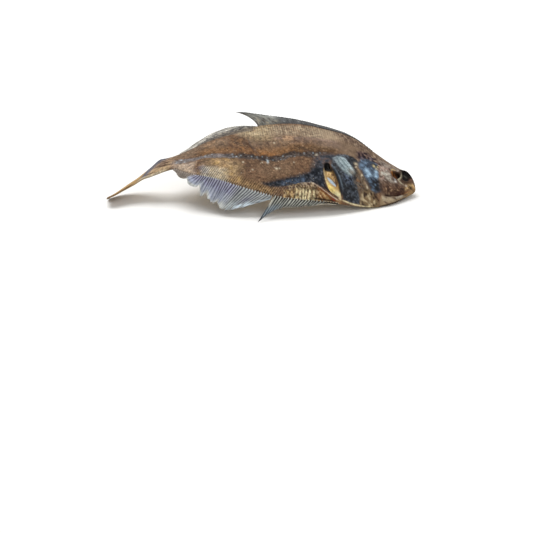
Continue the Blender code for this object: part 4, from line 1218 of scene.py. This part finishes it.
def skin_material():
    """Painted tone, broken up by scales, stripes, grain and flecks, with their relief in the bump."""
    skin = bpy.data.materials.new("dried_plaice_skin")
    skin.use_nodes = True
    tree = skin.node_tree
    shader = tree.nodes["Principled BSDF"]

    def feed(socket, value):
        if isinstance(value, bpy.types.NodeSocket):
            tree.links.new(value, socket)
        else:
            socket.default_value = value

    def node(kind, settings, *first, **named):
        """A shader node with its own settings, and its sockets by order or by name."""
        made = tree.nodes.new("ShaderNode" + kind)
        for key, value in settings.items():
            setattr(made, key, value)
        for key, value in (*enumerate(first), *named.items()):
            feed(made.inputs[key], value)
        return made.outputs

    def math(operation, first, second=0.0, third=0.0, clamp=False):
        return node("Math", {"operation": operation, "use_clamp": clamp}, first, second, third)[0]

    def plus(first, second):
        return math("ADD", first, second)

    def times(first, second):
        return math("MULTIPLY", first, second)

    def line(value, slope, start):
        return math("MULTIPLY_ADD", value, slope, start)

    def swing(value, reach):
        """A value round 0.5 as a swing round 0."""
        return line(value, 2 * reach, -reach)

    def attribute(name, output):
        return node("Attribute", {"attribute_name": name})[output]

    def cells(feature, vector, scale, chaos):
        return node("TexVoronoi", {"feature": feature}, Vector=vector, Scale=scale, Randomness=chaos)

    def cloud(scale, detail, rough):
        return node("TexNoise", {}, Vector=over, Scale=scale, Detail=detail, Roughness=rough)["Fac"]

    tone, over = attribute("tone", "Color"), attribute("place", "Vector")
    scales, flecks, gloss = node("SeparateXYZ", {}, attribute("traits", "Vector"))
    back, belly, coarse = node("SeparateXYZ", {}, attribute("stripes", "Vector"))
    along, up, _ = node("SeparateXYZ", {}, over)
    stretched = node("VectorMath", {"operation": "MULTIPLY"}, over, SCALE_STRETCH)[0]
    chance = node("SeparateColor", {}, cells("F1", stretched, 1.0, SCALE_CHAOS)["Color"])[0]
    edges = cells("DISTANCE_TO_EDGE", stretched, 1.0, SCALE_CHAOS)["Distance"]
    grain, broad = cloud(1.3, 4.0, 0.65), cloud(0.33, 3.0, 0.5)

    def wave(lean, share):
        """Light ridges over the bones of a fin, running on from its rays."""
        turn = line(broad, 0.8, line(up, lean, along))
        ridge = times(math("SINE", times(turn, 2 * np.pi / RAY_PITCH)), line(grain, 1.6, 0.1))
        return times(ridge, times(share, STRIPE_CONTRAST))

    # Scale by scale, darker in the joints, with the stripes, the grain and broad clouds
    joint = math("SUBTRACT", JOINT_WIDTH, edges, clamp=True)
    scaled = times(line(joint, -1.9, swing(chance, SCALE_CONTRAST)), scales)
    striped = plus(wave(-0.10, back), wave(0.55, belly))
    bright = plus(plus(scaled, striped), times(swing(grain, GRAIN_CONTRAST), coarse))
    bright = plus(plus(bright, swing(broad, CLOUD_CONTRAST)), 1.0)
    coloured = node("VectorMath", {"operation": "SCALE"}, tone, Scale=math("MAXIMUM", bright, DARKEST))[0]
    # Pale flecks
    spots = cells("F1", over, 0.36, 1.0)
    few = math("GREATER_THAN", node("SeparateColor", {}, spots["Color"])[1], 0.6)
    near = times(math("LESS_THAN", spots["Distance"], 0.15), few)
    near = math("MULTIPLY", times(near, flecks), 0.7, clamp=True)
    mixed = tree.nodes.new("ShaderNodeMix")
    mixed.data_type = "RGBA"
    for socket, value in ((0, near), (6, coloured), (7, FLECK_TONE)):
        feed(mixed.inputs[socket], value)
    feed(shader.inputs["Base Color"], mixed.outputs[2])
    feed(shader.inputs["Roughness"], line(gloss, -0.25, line(grain, 0.2, 0.48)))
    feed(shader.inputs["Specular IOR Level"], line(gloss, 0.25, 0.06))
    feed(shader.inputs["Metallic"], 0.0)
    raised = line(grain, 0.7, times(math("SUBTRACT", edges, joint), scales))
    raised = plus(raised, times(striped, 0.4))
    relief = node("Bump", {}, Strength=0.7, Distance=RELIEF_HEIGHT, Height=raised)
    feed(shader.inputs["Normal"], relief["Normal"])
    return skin


def floor_and_lights():
    mesh = bpy.data.meshes.new("floor")
    corners = [(FLOOR_REACH * x, FLOOR_REACH * y, 0) for x, y in ((-1, -1), (1, -1), (1, 1), (-1, 1))]
    mesh.from_pydata(corners, [], [(0, 1, 2, 3)])
    floor = bpy.data.objects.new("floor", mesh)
    bpy.context.scene.collection.objects.link(floor)
    plain = bpy.data.materials.new("pale_floor")
    plain.use_nodes = True
    shader = plain.node_tree.nodes["Principled BSDF"]
    shader.inputs["Base Color"].default_value = (0.86, 0.86, 0.85, 1)
    shader.inputs["Roughness"].default_value = 0.8
    mesh.materials.append(plain)
    world = bpy.data.worlds.new("studio")
    world.use_nodes = True
    sky = world.node_tree.nodes["Background"].inputs
    sky["Color"].default_value = (1.0, 0.985, 0.96, 1)
    sky["Strength"].default_value = 0.48
    bpy.context.scene.world = world
    for name, at, turn, power in (
        ("key", (-0.25, 0.45, 1.1), (-22, -12, 0), 14.0),
        ("fill", (0.5, -1.0, 0.9), (48, 0, 26), 6.0),
    ):
        lamp = bpy.data.lights.new(name, "AREA")
        lamp.size = LAMP_SIZE
        lamp.energy = power
        light = bpy.data.objects.new(name, lamp)
        light.location = at
        light.rotation_euler = np.radians(turn)
        bpy.context.scene.collection.objects.link(light)


def add_camera():
    lens = bpy.data.cameras.new("photo_view")
    lens.sensor_width = SENSOR
    lens.lens = FOCAL_PIXELS / PHOTO_PIXELS * SENSOR
    camera = bpy.data.objects.new("photo_view", lens)
    camera.location = (np.array(CAMERA_AT) + SHIFT) * MM
    camera.rotation_euler = (np.radians(90 - CAMERA_DOWN), 0, 0)
    bpy.context.scene.collection.objects.link(camera)
    bpy.context.scene.camera = camera


EVEN = (RAY_PITCH, RAY_PITCH)
# Name, rays, side, powers of a ray's sweep and spread, paint, seed,
# raggedness, waving, ray pitches, how much less the last rays lean, and whether the rear end stays whole
FINS = (
    ("plaice_dorsal_fin", DORSAL_FRONT, 1, (1.4, 1.5), dorsal_front_paint, 1,
     (0.02, 0.02), 0.2, EVEN, 0, True),
    ("plaice_dorsal_fin_rear", DORSAL_REAR, 1, (1.6, 1), dorsal_rear_paint, 2,
     (0.04, 0.04), 0.35, EVEN, 0, True),
    ("plaice_anal_fin", ANAL_FRONT, -1, (1, 1), anal_front_paint, 3,
     (0.42, 0.04), 0.4, (2, 1.75), 0.32, True),
    ("plaice_anal_fin_rear", ANAL_REAR, -1, (1, 1), anal_rear_paint, 4,
     (0.1, 0.04), 0.8, (1.9, 1.35), 0, False),
)

skin = skin_material()
make_body(skin)
for fin in FINS:
    make_fin(skin, *fin)
floor_and_lights()
add_camera()
bpy.context.scene.view_settings.view_transform = "Standard"
